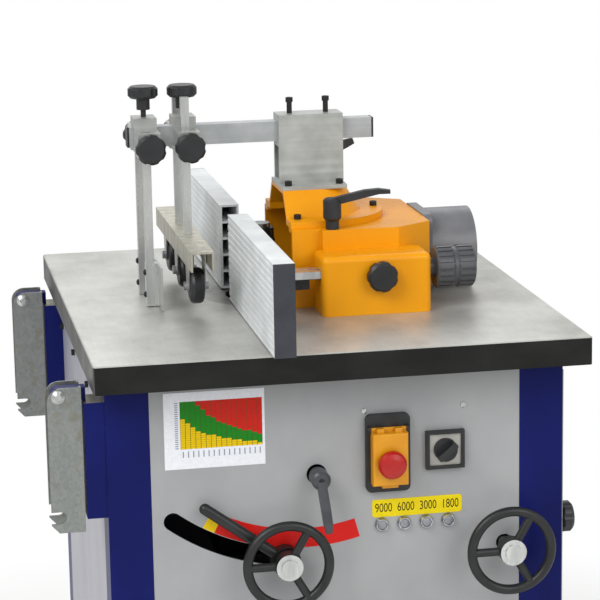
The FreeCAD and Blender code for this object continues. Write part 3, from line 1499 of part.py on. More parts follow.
def make_bar_box(way):
    """One closed box beside the hood, with the slot for its bar and the holes for its screws."""
    front = spindle_y + way * (spindle_in_y - box_front_in)
    back = spindle_y + way * (spindle_in_y - hood_block_in - hood_wall)
    x0 = table_left_x + box_left_in
    x1 = table_left_x + box_right_in
    high = top_z + box_height
    outer = box(x0, x1, front, back, top_z, high)
    edges = [edge for edge in outer.Edges if edge.CenterOfMass.z > top_z + cut_over
             and abs(edge.CenterOfMass.y - back) > cut_over]
    return outer.makeFillet(box_round, edges)


def bar_box_cuts(way):
    front = spindle_y + way * (spindle_in_y - box_front_in)
    back = spindle_y + way * (spindle_in_y - hood_block_in)
    middle = spindle_y + way * (spindle_in_y - bar_in_y)
    x0 = table_left_x + box_left_in
    x1 = table_left_x + box_right_in
    bar_high = top_z + bar_top_up
    bar_mid = bar_high - bar_thickness / 2
    cuts = [box(x0 + hood_wall, x1 - hood_wall, front - way * hood_wall, back, top_z - cut_over,
                top_z + box_height - hood_wall),
            box(x0 - cut_over, x0 + hood_wall + cut_over, middle - bar_depth / 2 - sliding_play,
                middle + bar_depth / 2 + sliding_play, bar_high - bar_thickness - sliding_play,
                bar_high + sliding_play),
            rod_y(box_stem_radius + running_play, table_left_x + box_knob_in_x, front + way * cut_over,
                  front - way * (hood_wall + cut_over), top_z + box_knob_up)]
    if way < 0:
        cuts.append(rod_x(fine_screw_radius + running_play, x1 - hood_wall - cut_over, x1 + cut_over,
                          middle, bar_mid))
    return cuts


def cover_shape(half, center_in, left_x):
    """A plan with a straight left end and a round right end, as a list of edges at height zero."""
    x = table_left_x + center_in
    a = at(left_x, spindle_y - half, 0)
    b = at(x, spindle_y - half, 0)
    c = at(x, spindle_y + half, 0)
    d = at(left_x, spindle_y + half, 0)
    return Part.Wire([Part.makeLine(a, b), Part.Arc(b, at(x + half, spindle_y, 0), c).toShape(),
                      Part.makeLine(c, d), Part.makeLine(d, a)])


def cover_plan(half, center_in, left_x, z):
    wire = cover_shape(half, center_in, left_x)
    wire.translate(at(0, 0, z))
    return wire


hood_left = table_left_x + hood_left_in
hood_right = table_left_x + hood_right_in
hood_top = top_z + hood_height
dust_y = table_front_y + dust_end_in_y
dust_z = top_z + dust_up


def make_hood_body():
    outer = slab_z(hood_outline(0), top_z, hood_top)
    outer = fused(outer, make_bar_box(-1), make_bar_box(1))
    ceiling = hood_top - hood_wall
    inner = slab_z(hood_outline(hood_wall), top_z - cut_over, ceiling)
    mouth = box(hood_left - cut_over, hood_left + cut_over, table_front_y + hood_front_in + hood_wall,
                mirrored(table_front_y + hood_front_in + hood_wall), top_z - cut_over, ceiling)
    body = outer.cut(inner).cut(mouth)
    inside = cover_half - 3 * hood_wall
    eye = Part.Face(cover_plan(inside, cover_center_in, hood_left - cut_over, ceiling - cut_over))
    body = body.cut(eye.extrude(at(0, 0, hood_wall + 2 * cut_over)))
    body = body.cut(rod_x(dust_hole_radius, hood_right - hood_wall - cut_over, hood_right + cut_over,
                          dust_y, dust_z))
    for way in (-1, 1):
        for cut in bar_box_cuts(way):
            body = body.cut(cut)
    stud = rod_z(lever_stud_radius + running_play, table_left_x + hood_lever_in_x,
                 table_front_y + hood_lever_in_y, ceiling - cut_over, hood_top + cut_over)
    return body.cut(stud)


save("hood_body", make_hood_body())


def make_hood_cover():
    low = hood_top
    flange_top = hood_top + cover_flange
    high = top_z + cover_top_up
    flange = Part.Face(cover_plan(cover_half, cover_center_in, hood_left, low))
    flange = flange.extrude(at(0, 0, cover_flange))
    dome = Part.makeLoft([cover_plan(cover_foot_half, cover_center_in, hood_left, low),
                          cover_plan(cover_foot_half, cover_center_in, hood_left, flange_top),
                          cover_plan(cover_top_half, cover_center_in, hood_left, high)], True, True)
    wall = cover_wall
    left = hood_left - cut_over
    hollow = Part.makeLoft([cover_plan(cover_foot_half - wall, cover_center_in, left, low - cut_over),
                            cover_plan(cover_foot_half - wall, cover_center_in, left, flange_top),
                            cover_plan(cover_top_half - wall, cover_center_in, left, high - wall)],
                           True, True)
    return fused(flange, dome).cut(hollow)


save("hood_cover", make_hood_cover())
dust_flange_x = hood_right + dust_flange
dust_end_x = dust_flange_x + dust_length
dust_plate = box(hood_right, dust_flange_x, dust_y - dust_flange_half, dust_y + dust_flange_half,
                 top_z + cut_over / 2, dust_z + dust_flange_half)
dust_plate = dust_plate.makeFillet(dust_flange, upright_edges(dust_plate, 0))
dust_tube = rod_x(dust_radius, hood_right, dust_end_x, dust_y, dust_z)
dust_bore = rod_x(dust_radius - dust_wall, hood_right - cut_over, dust_end_x + cut_over, dust_y, dust_z)
save("dust_outlet", fused(dust_plate, dust_tube).cut(dust_bore))


# The presser tower: a hollow extrusion on the cover, clamped round the arm
tower_left = table_left_x + tower_left_in
tower_right = table_left_x + tower_right_in
tower_low = top_z + cover_top_up
tower_rear = spindle_y + tower_depth / 2


def make_tower():
    block = box(tower_left, tower_right, spindle_y - tower_depth / 2, tower_rear, tower_low,
                top_z + tower_top_up)
    foot = box(tower_left, tower_right, spindle_y - tower_flange_depth / 2,
               spindle_y + tower_flange_depth / 2, tower_low, tower_low + tower_flange)
    window = box(tower_left - cut_over, tower_right + cut_over, spindle_y - beam_depth / 2 - sliding_play,
                 spindle_y + beam_depth / 2 + sliding_play, beam_low - sliding_play, beam_top + sliding_play)
    hollow = box(tower_left - cut_over, tower_right + cut_over, spindle_y - tower_hollow_depth / 2,
                 spindle_y + tower_hollow_depth / 2, top_z + tower_hollow_low_up,
                 top_z + tower_hollow_high_up)
    tower = fused(block, foot).cut(window).cut(hollow)
    for x in tower_screw_in_x:
        tower = tower.cut(rod_z(tower_screw_radius, table_left_x + x, spindle_y, beam_top,
                                top_z + tower_top_up + cut_over))
    return tower.cut(rod_y(lever_stud_radius + running_play, table_left_x + tower_lever_in_x,
                           spindle_y + tower_hollow_depth / 2 - cut_over, tower_rear + cut_over,
                           top_z + tower_lever_up))


save("presser_tower", make_tower())


def cap_screw(x, y, z):
    return turned([(0, 0), (cap_screw_radius, 0), (cap_screw_radius, cap_screw_head),
                   (cap_screw_radius / 2, cap_screw_head), (cap_screw_radius / 2, cap_screw_head / 2),
                   (0, cap_screw_head / 2)], at(x, y, z), at(0, 0, 1))


hood_screws = [cap_screw(table_left_x + x, table_front_y + y, hood_top + cover_flange)
               for x, y in cover_screw_places_in]
for screw_x in (tower_left + flange_screw_inset, tower_right - flange_screw_inset):
    for side in (-1, 1):
        screw_y = spindle_y + side * (tower_flange_depth / 2 - flange_screw_inset)
        hood_screws.append(cap_screw(screw_x, screw_y, tower_low + tower_flange))
for screw_x in tower_screw_in_x:
    head_z = top_z + tower_screw_head_up
    screw = rod_z(tower_screw_radius, table_left_x + screw_x, spindle_y, beam_top + sliding_play, head_z)
    hood_screws.append(fused(screw, cap_screw(table_left_x + screw_x, spindle_y, head_z)))
save("hood_screws", *hood_screws)


# Knobs and levers on the hood and tower
for node, way in (("box_knob_near", -1), ("box_knob_far", 1)):
    knob_y = spindle_y + way * (spindle_in_y - box_front_in)
    stem = box_front_in - bar_in_y + bar_depth / 2
    save(node, star_knob(at(table_left_x + box_knob_in_x, knob_y, top_z + box_knob_up), at(0, way, 0), 0,
                         -stem - sliding_play, box_stem_radius, box_knob_gap))


def make_fine_knob():
    x0 = table_left_x + box_right_in + fine_gap
    x1 = x0 + fine_length
    y = table_front_y + bar_in_y
    z = top_z + bar_top_up - bar_thickness / 2
    edge = fine_edge
    waist = fine_length / 2
    knob = turned([(0, 0), (fine_radius - edge, 0), (fine_radius, edge), (fine_radius, waist - fine_waist),
                   (fine_radius - edge, waist - fine_waist / 2), (fine_radius - edge, waist + fine_waist / 2),
                   (fine_radius, waist + fine_waist), (fine_radius, fine_length - edge),
                   (fine_radius - edge, fine_length), (0, fine_length)], at(x0, y, z), at(1, 0, 0))
    cuts = []
    for rib in range(fine_ribs):
        groove = box(x0 - cut_over, x1 + cut_over, y - fine_rib_width / 2, y + fine_rib_width / 2,
                     z + fine_radius - fine_groove, z + fine_radius + cut_over)
        groove.rotate(at(x0, y, z), at(1, 0, 0), 360.0 * rib / fine_ribs)
        cuts.append(groove)
    knob = knob.cut(Part.makeCompound(cuts))
    neck = rod_x(fine_neck_radius, x0 - fine_gap + sliding_play, x0, y, z)
    screw = rod_x(fine_screw_radius, table_left_x + bar_end_in - bar_bore_depth / 2, x0, y, z)
    return fused(knob, neck, screw)


save("fine_adjust_knob", make_fine_knob())
hood_turn = math.radians(hood_lever_deg)
save("hood_lever", clamp_lever(
    at(table_left_x + hood_lever_in_x, table_front_y + hood_lever_in_y, hood_top + running_play),
    at(math.cos(hood_turn), math.sin(hood_turn), 0), at(0, 0, 1), hood_lever_reach, lever_hub_height,
    hood_wall, lever_stud_radius))
tower_turn = math.radians(tower_lever_deg)
save("tower_lever", clamp_lever(
    at(table_left_x + tower_lever_in_x, tower_rear + running_play, top_z + tower_lever_up),
    at(math.cos(tower_turn), 0, math.sin(tower_turn)), at(0, 1, 0), tower_lever_reach, lever_hub_height,
    (tower_depth - tower_hollow_depth) / 2, lever_stud_radius))


# The overhead arm: a rectangular tube with a plug in each end
def make_beam():
    x0 = table_left_x + beam_left_in
    x1 = table_left_x + beam_right_in
    y0 = spindle_y - beam_depth / 2
    y1 = spindle_y + beam_depth / 2
    tube = box(x0, x1, y0, y1, beam_low, beam_top)
    tube = tube.cut(box(x0 - cut_over, x1 + cut_over, y0 + beam_wall, y1 - beam_wall, beam_low + beam_wall,
                        beam_top - beam_wall))
    plugs = []
    for end, way in ((x0, 1), (x1, -1)):
        plugs.append(fused(box(end - way * beam_cap, end, y0, y1, beam_low, beam_top),
                           box(end, end + way * beam_plug, y0 + beam_wall, y1 - beam_wall,
                               beam_low + beam_wall, beam_top - beam_wall)))
    return [tube] + plugs


save("presser_arm", *make_beam())


# The carriers slide along the arm; each clamps two square rods with a knob on either side
def rod_places(carrier):
    x = table_left_x + carrier_in_x[carrier] + rod_offset_x
    return [(x, spindle_y - rod_spread), (x, spindle_y + rod_spread)]


def square_rod(x, y, low, high, grow):
    half = rod_side / 2 + grow
    return box(x - half, x + half, y - half, y + half, low, high)


def make_carrier(carrier):
    x = table_left_x + carrier_in_x[carrier]
    x0 = x - carrier_width / 2
    x1 = x + carrier_width / 2
    saddle = box(x0, x1, spindle_y - saddle_depth / 2, spindle_y + saddle_depth / 2, top_z + saddle_low_up,
                 top_z + saddle_top_up)
    clamps = []
    for way in (-1, 1):
        near = spindle_y + way * saddle_depth / 2
        clamps.append(box(x0, x1, near, near + way * clamp_depth, top_z + clamp_low_up, top_z + clamp_top_up))
    body = fused(saddle, *clamps)
    body = body.cut(box(x0 - cut_over, x1 + cut_over, spindle_y - beam_depth / 2 - sliding_play,
                        spindle_y + beam_depth / 2 + sliding_play, beam_low - sliding_play,
                        beam_top + sliding_play))
    for rod_at_x, rod_at_y in rod_places(carrier):
        body = body.cut(square_rod(rod_at_x, rod_at_y, top_z + clamp_low_up - cut_over,
                                   top_z + clamp_top_up + cut_over, rod_play))
    face = saddle_depth / 2 + clamp_depth
    for way in (-1, 1):
        body = body.cut(rod_y(star_stem_radius + running_play, x, spindle_y + way * rod_spread,
                              spindle_y + way * (face + cut_over), top_z + side_knob_up))
    return body.cut(rod_z(star_stem_radius + running_play, x, spindle_y, beam_top,
                          top_z + saddle_top_up + cut_over))


for carrier in range(len(carrier_in_x)):
    name = str(carrier + 1)
    carrier_x = table_left_x + carrier_in_x[carrier]
    save("carrier_" + name, make_carrier(carrier))
    save("top_knob_" + name, star_knob(
        at(carrier_x, spindle_y, top_z + saddle_top_up), at(0, 0, 1), star_hub,
        saddle_top_up - beam_low_up - beam_height - 2 * sliding_play, star_stem_radius, top_knob_gap))
    knob_face = saddle_depth / 2 + clamp_depth
    knob_stem = knob_face - rod_spread - rod_side / 2 - sliding_play
    for node, way in (("front_knob_", -1), ("rear_knob_", 1)):
        save(node + name, star_knob(at(carrier_x, spindle_y + way * knob_face, top_z + side_knob_up),
                                    at(0, way, 0), 0, knob_stem, star_stem_radius, side_knob_gap))


# The left presser: a long shoe plate screwed to two blocks under the rods
def make_shoe_post():
    places = rod_places(0)
    low = top_z + shoe_low_up
    high = top_z + shoe_top_up
    solids = []
    plate_x = places[0][0] + shoe_block_right
    for x, y in places:
        block = box(x + shoe_block_left, plate_x, y - shoe_block_depth / 2, y + shoe_block_depth / 2,
                    low, high)
        solids.append(fused(block, square_rod(x, y, high - cut_over, top_z + shoe_rod_top_up, 0)))
    solids.append(box(plate_x, plate_x + shoe_plate, table_front_y + shoe_front_in,
                      table_front_y + shoe_rear_in, low, high))
    for x, y in places:
        for share in shoe_screw_shares:
            z = low + (high - low) * share
            solids.append(turned([(0, 0), (shoe_screw_radius, 0), (shoe_screw_radius, shoe_screw_head / 2),
                                  (shoe_screw_radius / 2, shoe_screw_head), (0, shoe_screw_head)],
                                 at(x + shoe_block_left, y, z), at(-1, 0, 0)))
    return solids


save("shoe_post", *make_shoe_post())


# The right presser: a channel under two rods, with three rollers in forks
def roller_y(index):
    return spindle_y + (index - 1) * roller_pitch


def make_roller_post():
    places = rod_places(1)
    x = places[0][0]
    high = top_z + channel_top_up
    low = top_z + channel_low_up
    y0 = table_front_y + channel_front_in
    y1 = table_front_y + channel_rear_in
    half = channel_width / 2
    channel = box(x - half, x + half, y0, y1, low, high)
    channel = channel.cut(box(x - half + channel_sheet, x + half - channel_sheet, y0 - cut_over,
                              y1 + cut_over, low - cut_over, high - channel_sheet))
    rods = [square_rod(rx, ry, high, top_z + roller_rod_top_up, 0) for rx, ry in places]
    solids = [channel, *rods]
    axle_z = top_z + roller_axle_up
    roof = high - channel_sheet
    for index in range(3):
        y = roller_y(index)
        legs = []
        for way in (-1, 1):
            leg_x = x + way * fork_inner / 2
            leg = [at(leg_x, y - fork_top_half, roof), at(leg_x, y + fork_top_half, roof),
                   at(leg_x, y + fork_tip_half, axle_z), at(leg_x, y - fork_tip_half, axle_z)]
            legs.append(Part.Face(Part.makePolygon(leg + leg[:1])).extrude(at(way * fork_sheet, 0, 0)))
            legs.append(rod_x(fork_tip_half, leg_x, leg_x + way * fork_sheet, y, axle_z))
        plate = box(x - fork_inner / 2, x + fork_inner / 2, y - fork_top_half, y + fork_top_half,
                    roof - fork_plate, roof)
        outside = fork_inner / 2 + fork_sheet
        axle = [rod_x(roller_axle_radius, x - outside, x + outside, y, axle_z)]
        for way in (-1, 1):
            axle.append(rod_x(axle_nut_radius, x + way * outside, x + way * (outside + axle_nut), y, axle_z))
        solids.append(fused(plate, *legs, *axle))
    return solids


save("roller_post", *make_roller_post())
for index in range(3):
    roller_x = rod_places(1)[0][0] - roller_width / 2
    tread = roller_radius - roller_round
    bore = roller_axle_radius + running_play
    shoulder = roller_round / 3
    save("roller_" + str(index + 1), turned(
        [(bore, 0), (tread, 0), (roller_radius - shoulder, shoulder), (roller_radius, roller_round),
         (roller_radius, roller_width - roller_round), (roller_radius - shoulder, roller_width - shoulder),
         (tread, roller_width), (bore, roller_width)],
        at(roller_x, roller_y(index), top_z + roller_axle_up), at(1, 0, 0)))
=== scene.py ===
import json
import math
import bpy
import numpy as np
from mathutils import Matrix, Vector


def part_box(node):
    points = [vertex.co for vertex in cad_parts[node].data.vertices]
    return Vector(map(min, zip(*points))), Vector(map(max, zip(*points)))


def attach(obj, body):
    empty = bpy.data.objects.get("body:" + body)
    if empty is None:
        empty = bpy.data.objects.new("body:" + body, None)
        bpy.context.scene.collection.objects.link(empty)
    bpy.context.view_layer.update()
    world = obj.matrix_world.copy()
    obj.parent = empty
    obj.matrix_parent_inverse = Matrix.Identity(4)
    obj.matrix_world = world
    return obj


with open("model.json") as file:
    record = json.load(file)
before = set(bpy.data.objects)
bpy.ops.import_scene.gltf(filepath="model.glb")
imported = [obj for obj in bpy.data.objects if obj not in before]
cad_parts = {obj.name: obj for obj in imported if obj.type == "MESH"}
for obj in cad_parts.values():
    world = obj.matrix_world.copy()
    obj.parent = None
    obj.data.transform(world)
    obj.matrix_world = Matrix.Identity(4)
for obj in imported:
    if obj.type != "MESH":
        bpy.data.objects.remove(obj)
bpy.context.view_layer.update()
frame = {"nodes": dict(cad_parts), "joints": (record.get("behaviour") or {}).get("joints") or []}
nodes = frame["nodes"]

# The table is a grey iron casting. Its top and ends are ground and lightly oiled, and the ribbed
# underside is left rough. The ends are given a lighter grey as painted light, and the front and
# rear edges a near-black paint that holds painted shade.
mm = 0.001


def linear(hex_colour):
    """sRGB hex to linear RGBA by the standard two-part curve."""
    values = np.array([int(hex_colour[k:k + 2], 16) / 255 for k in (1, 3, 5)])
    curve = np.where(values <= 0.04045, values / 12.92, ((values + 0.055) / 1.055) ** 2.4)
    return (*curve.tolist(), 1.0)


def add(tree, kind, inputs, **settings):
    """Adds one node; an input given as a socket is linked, and any other value is set."""
    node = tree.nodes.new(kind)
    for key, value in settings.items():
        setattr(node, key, value)
    for key, value in inputs.items():
        if isinstance(value, bpy.types.NodeSocket):
            tree.links.new(value, node.inputs[key])
        else:
            node.inputs[key].default_value = value
    return node


def new_surface(name, roughness, metallic):
    """A material with one shader, and the Object coordinates that its patterns use."""
    material = bpy.data.materials.new(name)
    material.use_nodes = True
    tree = material.node_tree
    shader = tree.nodes["Principled BSDF"]
    shader.inputs["Roughness"].default_value = roughness
    shader.inputs["Metallic"].default_value = metallic
    place = add(tree, "ShaderNodeTexCoord", {}).outputs["Object"]
    return material, tree, shader, place


def stretched(tree, place, stretch_mm):
    """Coordinates counted in pattern lengths, with one real length in mm for each axis."""
    scale = tuple(1.0 / (length * mm) for length in stretch_mm)
    return add(tree, "ShaderNodeMapping", {"Vector": place, "Scale": scale}).outputs["Vector"]


def noise(tree, place, lengths_mm, detail=2.0, roughness=0.5, output=0):
    """Fractal noise whose cells have a real length in mm along each axis."""
    cells = stretched(tree, place, lengths_mm)
    return add(tree, "ShaderNodeTexNoise", {"Vector": cells, "Scale": 1.0, "Detail": detail,
                                            "Roughness": roughness}).outputs[output]


def worked(tree, operation, one, two):
    """One sum of two sockets or numbers, such as ADD or MULTIPLY."""
    return add(tree, "ShaderNodeMath", {0: one, 1: two}, operation=operation).outputs[0]


def mixed(tree, share, dark, light):
    """A colour between two hex colours, by a 0 to 1 socket."""
    mix = add(tree, "ShaderNodeMix", {0: share}, data_type="RGBA")
    mix.inputs[6].default_value = linear(dark)
    mix.inputs[7].default_value = linear(light)
    return mix.outputs[2]


def spread(tree, value, low, high, to_low=0.0, to_high=1.0):
    """Maps one range of a socket to another, clamped."""
    return add(tree, "ShaderNodeMapRange", {0: value, 1: low, 2: high, 3: to_low, 4: to_high}).outputs[0]


def relief(tree, shader, height, depth_mm, edge_mm=0.8):
    """Bump of a real depth over edges that are rounded by a real radius; gives that normal back."""
    bump = add(tree, "ShaderNodeBump", {"Height": height, "Distance": depth_mm * mm, "Strength": 1.0})
    tree.links.new(bump.outputs[0], shader.inputs["Normal"])
    if edge_mm == 0:
        return None
    edge = add(tree, "ShaderNodeBevel", {"Radius": edge_mm * mm}, samples=3).outputs[0]
    tree.links.new(edge, bump.inputs["Normal"])
    return edge


def ground_iron(name, dark, light, grind_mm):
    """Ground cast iron: cloudy oil stains, and fine grinding lines that run one way."""
    material, tree, shader, place = new_surface(name, 0.42, 0.55)
    cloud = noise(tree, place, (110, 150, 110), 6.0, 0.62)
    lines = noise(tree, place, grind_mm, 3.0)
    scratch = spread(tree, lines, 0.3, 0.7, -0.1, 0.1)
    share = worked(tree, "ADD", spread(tree, cloud, 0.32, 0.68), scratch)
    tree.links.new(mixed(tree, share, dark, light), shader.inputs["Base Color"])
    tree.links.new(spread(tree, cloud, 0.3, 0.7, 0.5, 0.34), shader.inputs["Roughness"])
    relief(tree, shader, lines, 0.02, 0)
    return material


def dress(node, materials, index=None):
    """Gives a CAD node its materials, with one index for each face where there are several."""
    mesh = nodes[node].data
    mesh.materials.clear()
    for material in materials:
        mesh.materials.append(material)
    faces = np.zeros(len(mesh.polygons), np.int32) if index is None else index.astype(np.int32)
    mesh.polygons.foreach_set("material_index", faces)
    mesh.update()


def faces_of(node):
    """Centres and normals of a CAD node's faces, as two arrays of rows."""
    mesh = nodes[node].data
    centres = np.empty(len(mesh.polygons) * 3)
    normals = np.empty(len(mesh.polygons) * 3)
    mesh.polygons.foreach_get("center", centres)
    mesh.polygons.foreach_get("normal", normals)
    return centres.reshape(-1, 3), normals.reshape(-1, 3)


table_top = ground_iron("ground cast iron", "#A9A9A4", "#CFCFCA", (1.2, 60, 1.2))
# The table ends' lighter grey is painted light, against the near-black front and rear edges.
lit_table_end = ground_iron("dull iron end with painted light", "#3B3B3A", "#565654", (2, 60, 2))
table_low, table_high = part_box("table")
top_z = table_high[2]


def rough_iron(name, colour, light):
    """Painted sand casting: even dark paint with the sand's grain showing through."""
    material, tree, shader, place = new_surface(name, 0.5, 0.0)
    shader.inputs["Specular IOR Level"].default_value = 0.25
    sand = noise(tree, place, (2.5, 2.5, 2.5), 4.0)
    patch = noise(tree, place, (60, 60, 30), 3.0)
    tree.links.new(mixed(tree, spread(tree, patch, 0.35, 0.7), colour, light), shader.inputs["Base Color"])
    relief(tree, shader, sand, 0.12)
    return material


# The near-black of the table's front and rear edges is painted shade over their dark paint.
shaded_edge_paint = rough_iron("dark edge paint with painted shade", "#0F0F0E", "#1C1C1B")
cast_paint = rough_iron("casting enamel", "#2E3134", "#44484C")
centres, normals = faces_of("table")
table_faces = np.where(normals[:, 2] > 0.5, 0, np.where(np.abs(normals[:, 0]) > 0.7, 2, 1))
table_faces[normals[:, 2] < -0.5] = 3
dress("table", [table_top, shaded_edge_paint, lit_table_end, cast_paint], table_faces)

# The loose ring lies in the table round the spindle. It is turned from iron, so its marks
# run in circles, and it lifts out for larger cutters.
ring_low, ring_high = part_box("table_ring")
ring_middle = [(a + b) / 2 for a, b in zip(ring_low, ring_high)]


def turned_steel(name, middle, dark, light, ring_mm, roughness):
    """Lathe-turned metal: fine rings about an upright axis, with a little staining."""
    material, tree, shader, place = new_surface(name, roughness, 1.0)
    offset = (-middle[0], -middle[1], 0)
    moved = add(tree, "ShaderNodeMapping", {"Vector": place, "Location": offset}).outputs[0]
    wave = {"Vector": moved, "Scale": 0.05 / (ring_mm * mm), "Distortion": 0.4, "Detail": 2.0}
    rings = add(tree, "ShaderNodeTexWave", wave, wave_type="RINGS", rings_direction="Z").outputs[1]
    stain = noise(tree, place, (40, 40, 40), 4.0)
    tree.links.new(mixed(tree, spread(tree, stain, 0.3, 0.7), dark, light), shader.inputs["Base Color"])
    relief(tree, shader, rings, 0.03, 0.5)
    return material


dress("table_ring", [turned_steel("turned iron ring", ring_middle, "#8E8E8A", "#B4B4AE", 1.6, 0.36)])


# The cabinet frame is folded and welded sheet in deep blue enamel: a hard even skin with a
# slight orange peel, worn to bare metal on its sharpest edges. The arm stubs have zinc caps.
def enamel(name, colour, light, roughness, worn, peel_mm=3.0, sheen=0.3, wear=0.55):
    """Sprayed enamel: faint uneven tone, orange peel, and edges rubbed through to metal."""
    material, tree, shader, place = new_surface(name, roughness, 0.0)
    shader.inputs["Specular IOR Level"].default_value = sheen
    peel = noise(tree, place, (peel_mm,) * 3, 2.0)
    patch = noise(tree, place, (120, 120, 160), 4.0)
    flake = noise(tree, place, (9, 9, 9), 5.0, 0.7)
    rounded = relief(tree, shader, peel, 0.03, 1.0)
    true_normal = add(tree, "ShaderNodeNewGeometry", {}).outputs["Normal"]
    agree = add(tree, "ShaderNodeVectorMath", {0: rounded, 1: true_normal}, operation="DOT_PRODUCT")
    edge = spread(tree, agree.outputs["Value"], 0.995, 0.93)
    rubbed = worked(tree, "MULTIPLY", edge, spread(tree, flake, wear, wear + 0.12))
    body = mixed(tree, spread(tree, patch, 0.3, 0.7), colour, light)
    mix = add(tree, "ShaderNodeMix", {0: rubbed, 6: body}, data_type="RGBA")
    mix.inputs[7].default_value = linear(worn)
    tree.links.new(mix.outputs[2], shader.inputs["Base Color"])
    gloss = spread(tree, peel, 0.2, 0.8, roughness - 0.05, roughness + 0.06)
    tree.links.new(gloss, shader.inputs["Roughness"])
    return material


def plated(name, dark, light, roughness, cell_mm=2.0):
    """Plated or machined metal: long soft stains, and a satin that varies a little."""
    material, tree, shader, place = new_surface(name, roughness, 0.8)
    soft = noise(tree, place, (14, 14, 70), 5.0)
    grain = noise(tree, place, (cell_mm,) * 3)
    tree.links.new(mixed(tree, spread(tree, soft, 0.3, 0.7), dark, light), shader.inputs["Base Color"])
    gloss = spread(tree, soft, 0.3, 0.7, roughness + 0.05, roughness - 0.04)
    tree.links.new(gloss, shader.inputs["Roughness"])
    relief(tree, shader, grain, 0.002, 0.6)
    return material


blue_enamel = enamel("deep blue enamel", "#0E1550", "#141C60", 0.36, "#5A5F74", sheen=0.1)
zinc = plated("zinc plate", "#A9A698", "#CFCBBD", 0.36)
bright_zinc = plated("bright zinc plate", "#B9BBBC", "#DADBD8", 0.28)
post_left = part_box("side_panels")[0][0]
centres, normals = faces_of("cabinet_frame")
stub_drop = 66 * mm
stub_caps = (normals[:, 2] > 0.9) & (centres[:, 0] < post_left)
stub_caps &= np.abs(centres[:, 2] - (top_z - stub_drop)) < 0.5 * mm
dress("cabinet_frame", [blue_enamel, zinc], np.where(stub_caps, 1, 0))

# The feet are ribbed rubber pads moulded on plated studs, which screw into the base and
# are locked by a nut.
def rubber(name, colour, light, roughness):
    """Moulded rubber: matt, slightly mottled, with a fine skin grain."""
    material, tree, shader, place = new_surface(name, roughness, 0.0)
    grain = noise(tree, place, (1.2, 1.2, 1.2), 3.0)
    bloom = noise(tree, place, (18, 18, 18), 4.0)
    tree.links.new(mixed(tree, spread(tree, bloom, 0.35, 0.75), colour, light), shader.inputs["Base Color"])
    relief(tree, shader, grain, 0.06, 0.6)
    return material


black_rubber = rubber("black rubber", "#161616", "#262625", 0.62)
pad_height = 13 * mm
centres, normals = faces_of("levelling_feet")
dress("levelling_feet", [black_rubber, zinc], np.where(centres[:, 2] > pad_height, 1, 0))

# The panels and the side door are flat steel sheet in light grey enamel, set between the
# posts. The panels are screwed on, and the door hangs on two pins.
grey_enamel = enamel("light grey enamel", "#98999B", "#A6A7A8", 0.36, "#8A8C8E", peel_mm=2.4)
lavender_enamel = enamel("side panel enamel", "#9C9CA6", "#ABABB4", 0.38, "#8A8C8E", peel_mm=2.4)
dress("front_panel", [grey_enamel])
dress("side_panels", [lavender_enamel])
dress("side_door", [grey_enamel])


# Screws and bolts are forged steel, blackened and lightly oiled. The panel screws and the
# pivot bolts of the support arms are bright zinc.
def blackened(name, colour, light, roughness):
    """Chemically blackened steel: dark, low sheen, lightly streaked."""
    material, tree, shader, place = new_surface(name, roughness, 0.35)
    streak = noise(tree, place, (4, 4, 4), 4.0)
    tree.links.new(mixed(tree, spread(tree, streak, 0.3, 0.75), colour, light), shader.inputs["Base Color"])
    relief(tree, shader, streak, 0.03, 0.5)
    return material


black_oxide = blackened("blackened steel", "#141415", "#2B2B2C", 0.42)
steel = plated("machined steel", "#8E9092", "#B7B9BA", 0.3, 1.5)
panel_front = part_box("front_panel")[0][1]
post_width = 60 * mm
centres, normals = faces_of("frame_fasteners")
front_screws = (centres[:, 1] < panel_front + 0.1 * mm) & (centres[:, 0] > post_left + post_width)
arm_bolts = centres[:, 0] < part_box("support_arm_front")[1][0]
dress("frame_fasteners", [black_oxide, bright_zinc], np.where(front_screws | arm_bolts, 1, 0))


# The support arms are channels folded from galvanised sheet, each on one pivot bolt: dull
# grey spangle with brownish blotches.
def galvanised(name):
    """Hot-dip zinc: crystal cells of slightly different greys, under rust-brown cloud spots."""
    material, tree, shader, place = new_surface(name, 0.5, 0.7)
    warp = noise(tree, place, (5, 5, 5), 4.0, output=1)
    even = stretched(tree, place, (4, 4, 5))
    ragged = add(tree, "ShaderNodeVectorMath", {0: even, 1: warp}, operation="ADD").outputs[0]
    cells = add(tree, "ShaderNodeTexVoronoi", {"Vector": ragged, "Scale": 1.0}).outputs["Color"]
    tone = add(tree, "ShaderNodeSeparateColor", {0: cells}).outputs[0]
    cloud = noise(tree, place, (16, 16, 22), 6.0, 0.7)
    base = mixed(tree, spread(tree, tone, 0.0, 1.0), "#858A89", "#949793")
    spot = spread(tree, cloud, 0.52, 0.68, 0.0, 0.75)
    blotch = add(tree, "ShaderNodeMix", {0: spot, 6: base}, data_type="RGBA")
    blotch.inputs[7].default_value = linear("#857C68")
    tree.links.new(blotch.outputs[2], shader.inputs["Base Color"])
    tree.links.new(spread(tree, cloud, 0.4, 0.7, 0.4, 0.62), shader.inputs["Roughness"])
    relief(tree, shader, cloud, 0.08, 0.8)
    return material


spangle = galvanised("galvanised sheet")
for node in ("support_arm_front", "support_arm_rear"):
    dress(node, [spangle])


# The speed chart is a printed white card on the front panel: coloured cells in stepped
# zones, with a plain tick under each column and beside each row.
def card_ink(name, colour, roughness=0.35):
    """Printed gloss card: flat ink with a faint mottle from the press."""
    material, tree, shader, place = new_surface(name, roughness, 0.0)
    shader.inputs["Specular IOR Level"].default_value = 0.15
    mottle = noise(tree, place, (3, 3, 3), 1.0)
    shade = "#%02X%02X%02X" % tuple(int(int(colour[k:k + 2], 16) * 0.97) for k in (1, 3, 5))
    tree.links.new(mixed(tree, spread(tree, mottle, 0.3, 0.7), shade, colour), shader.inputs["Base Color"])
    relief(tree, shader, mottle, 0.01, 0)
    return material


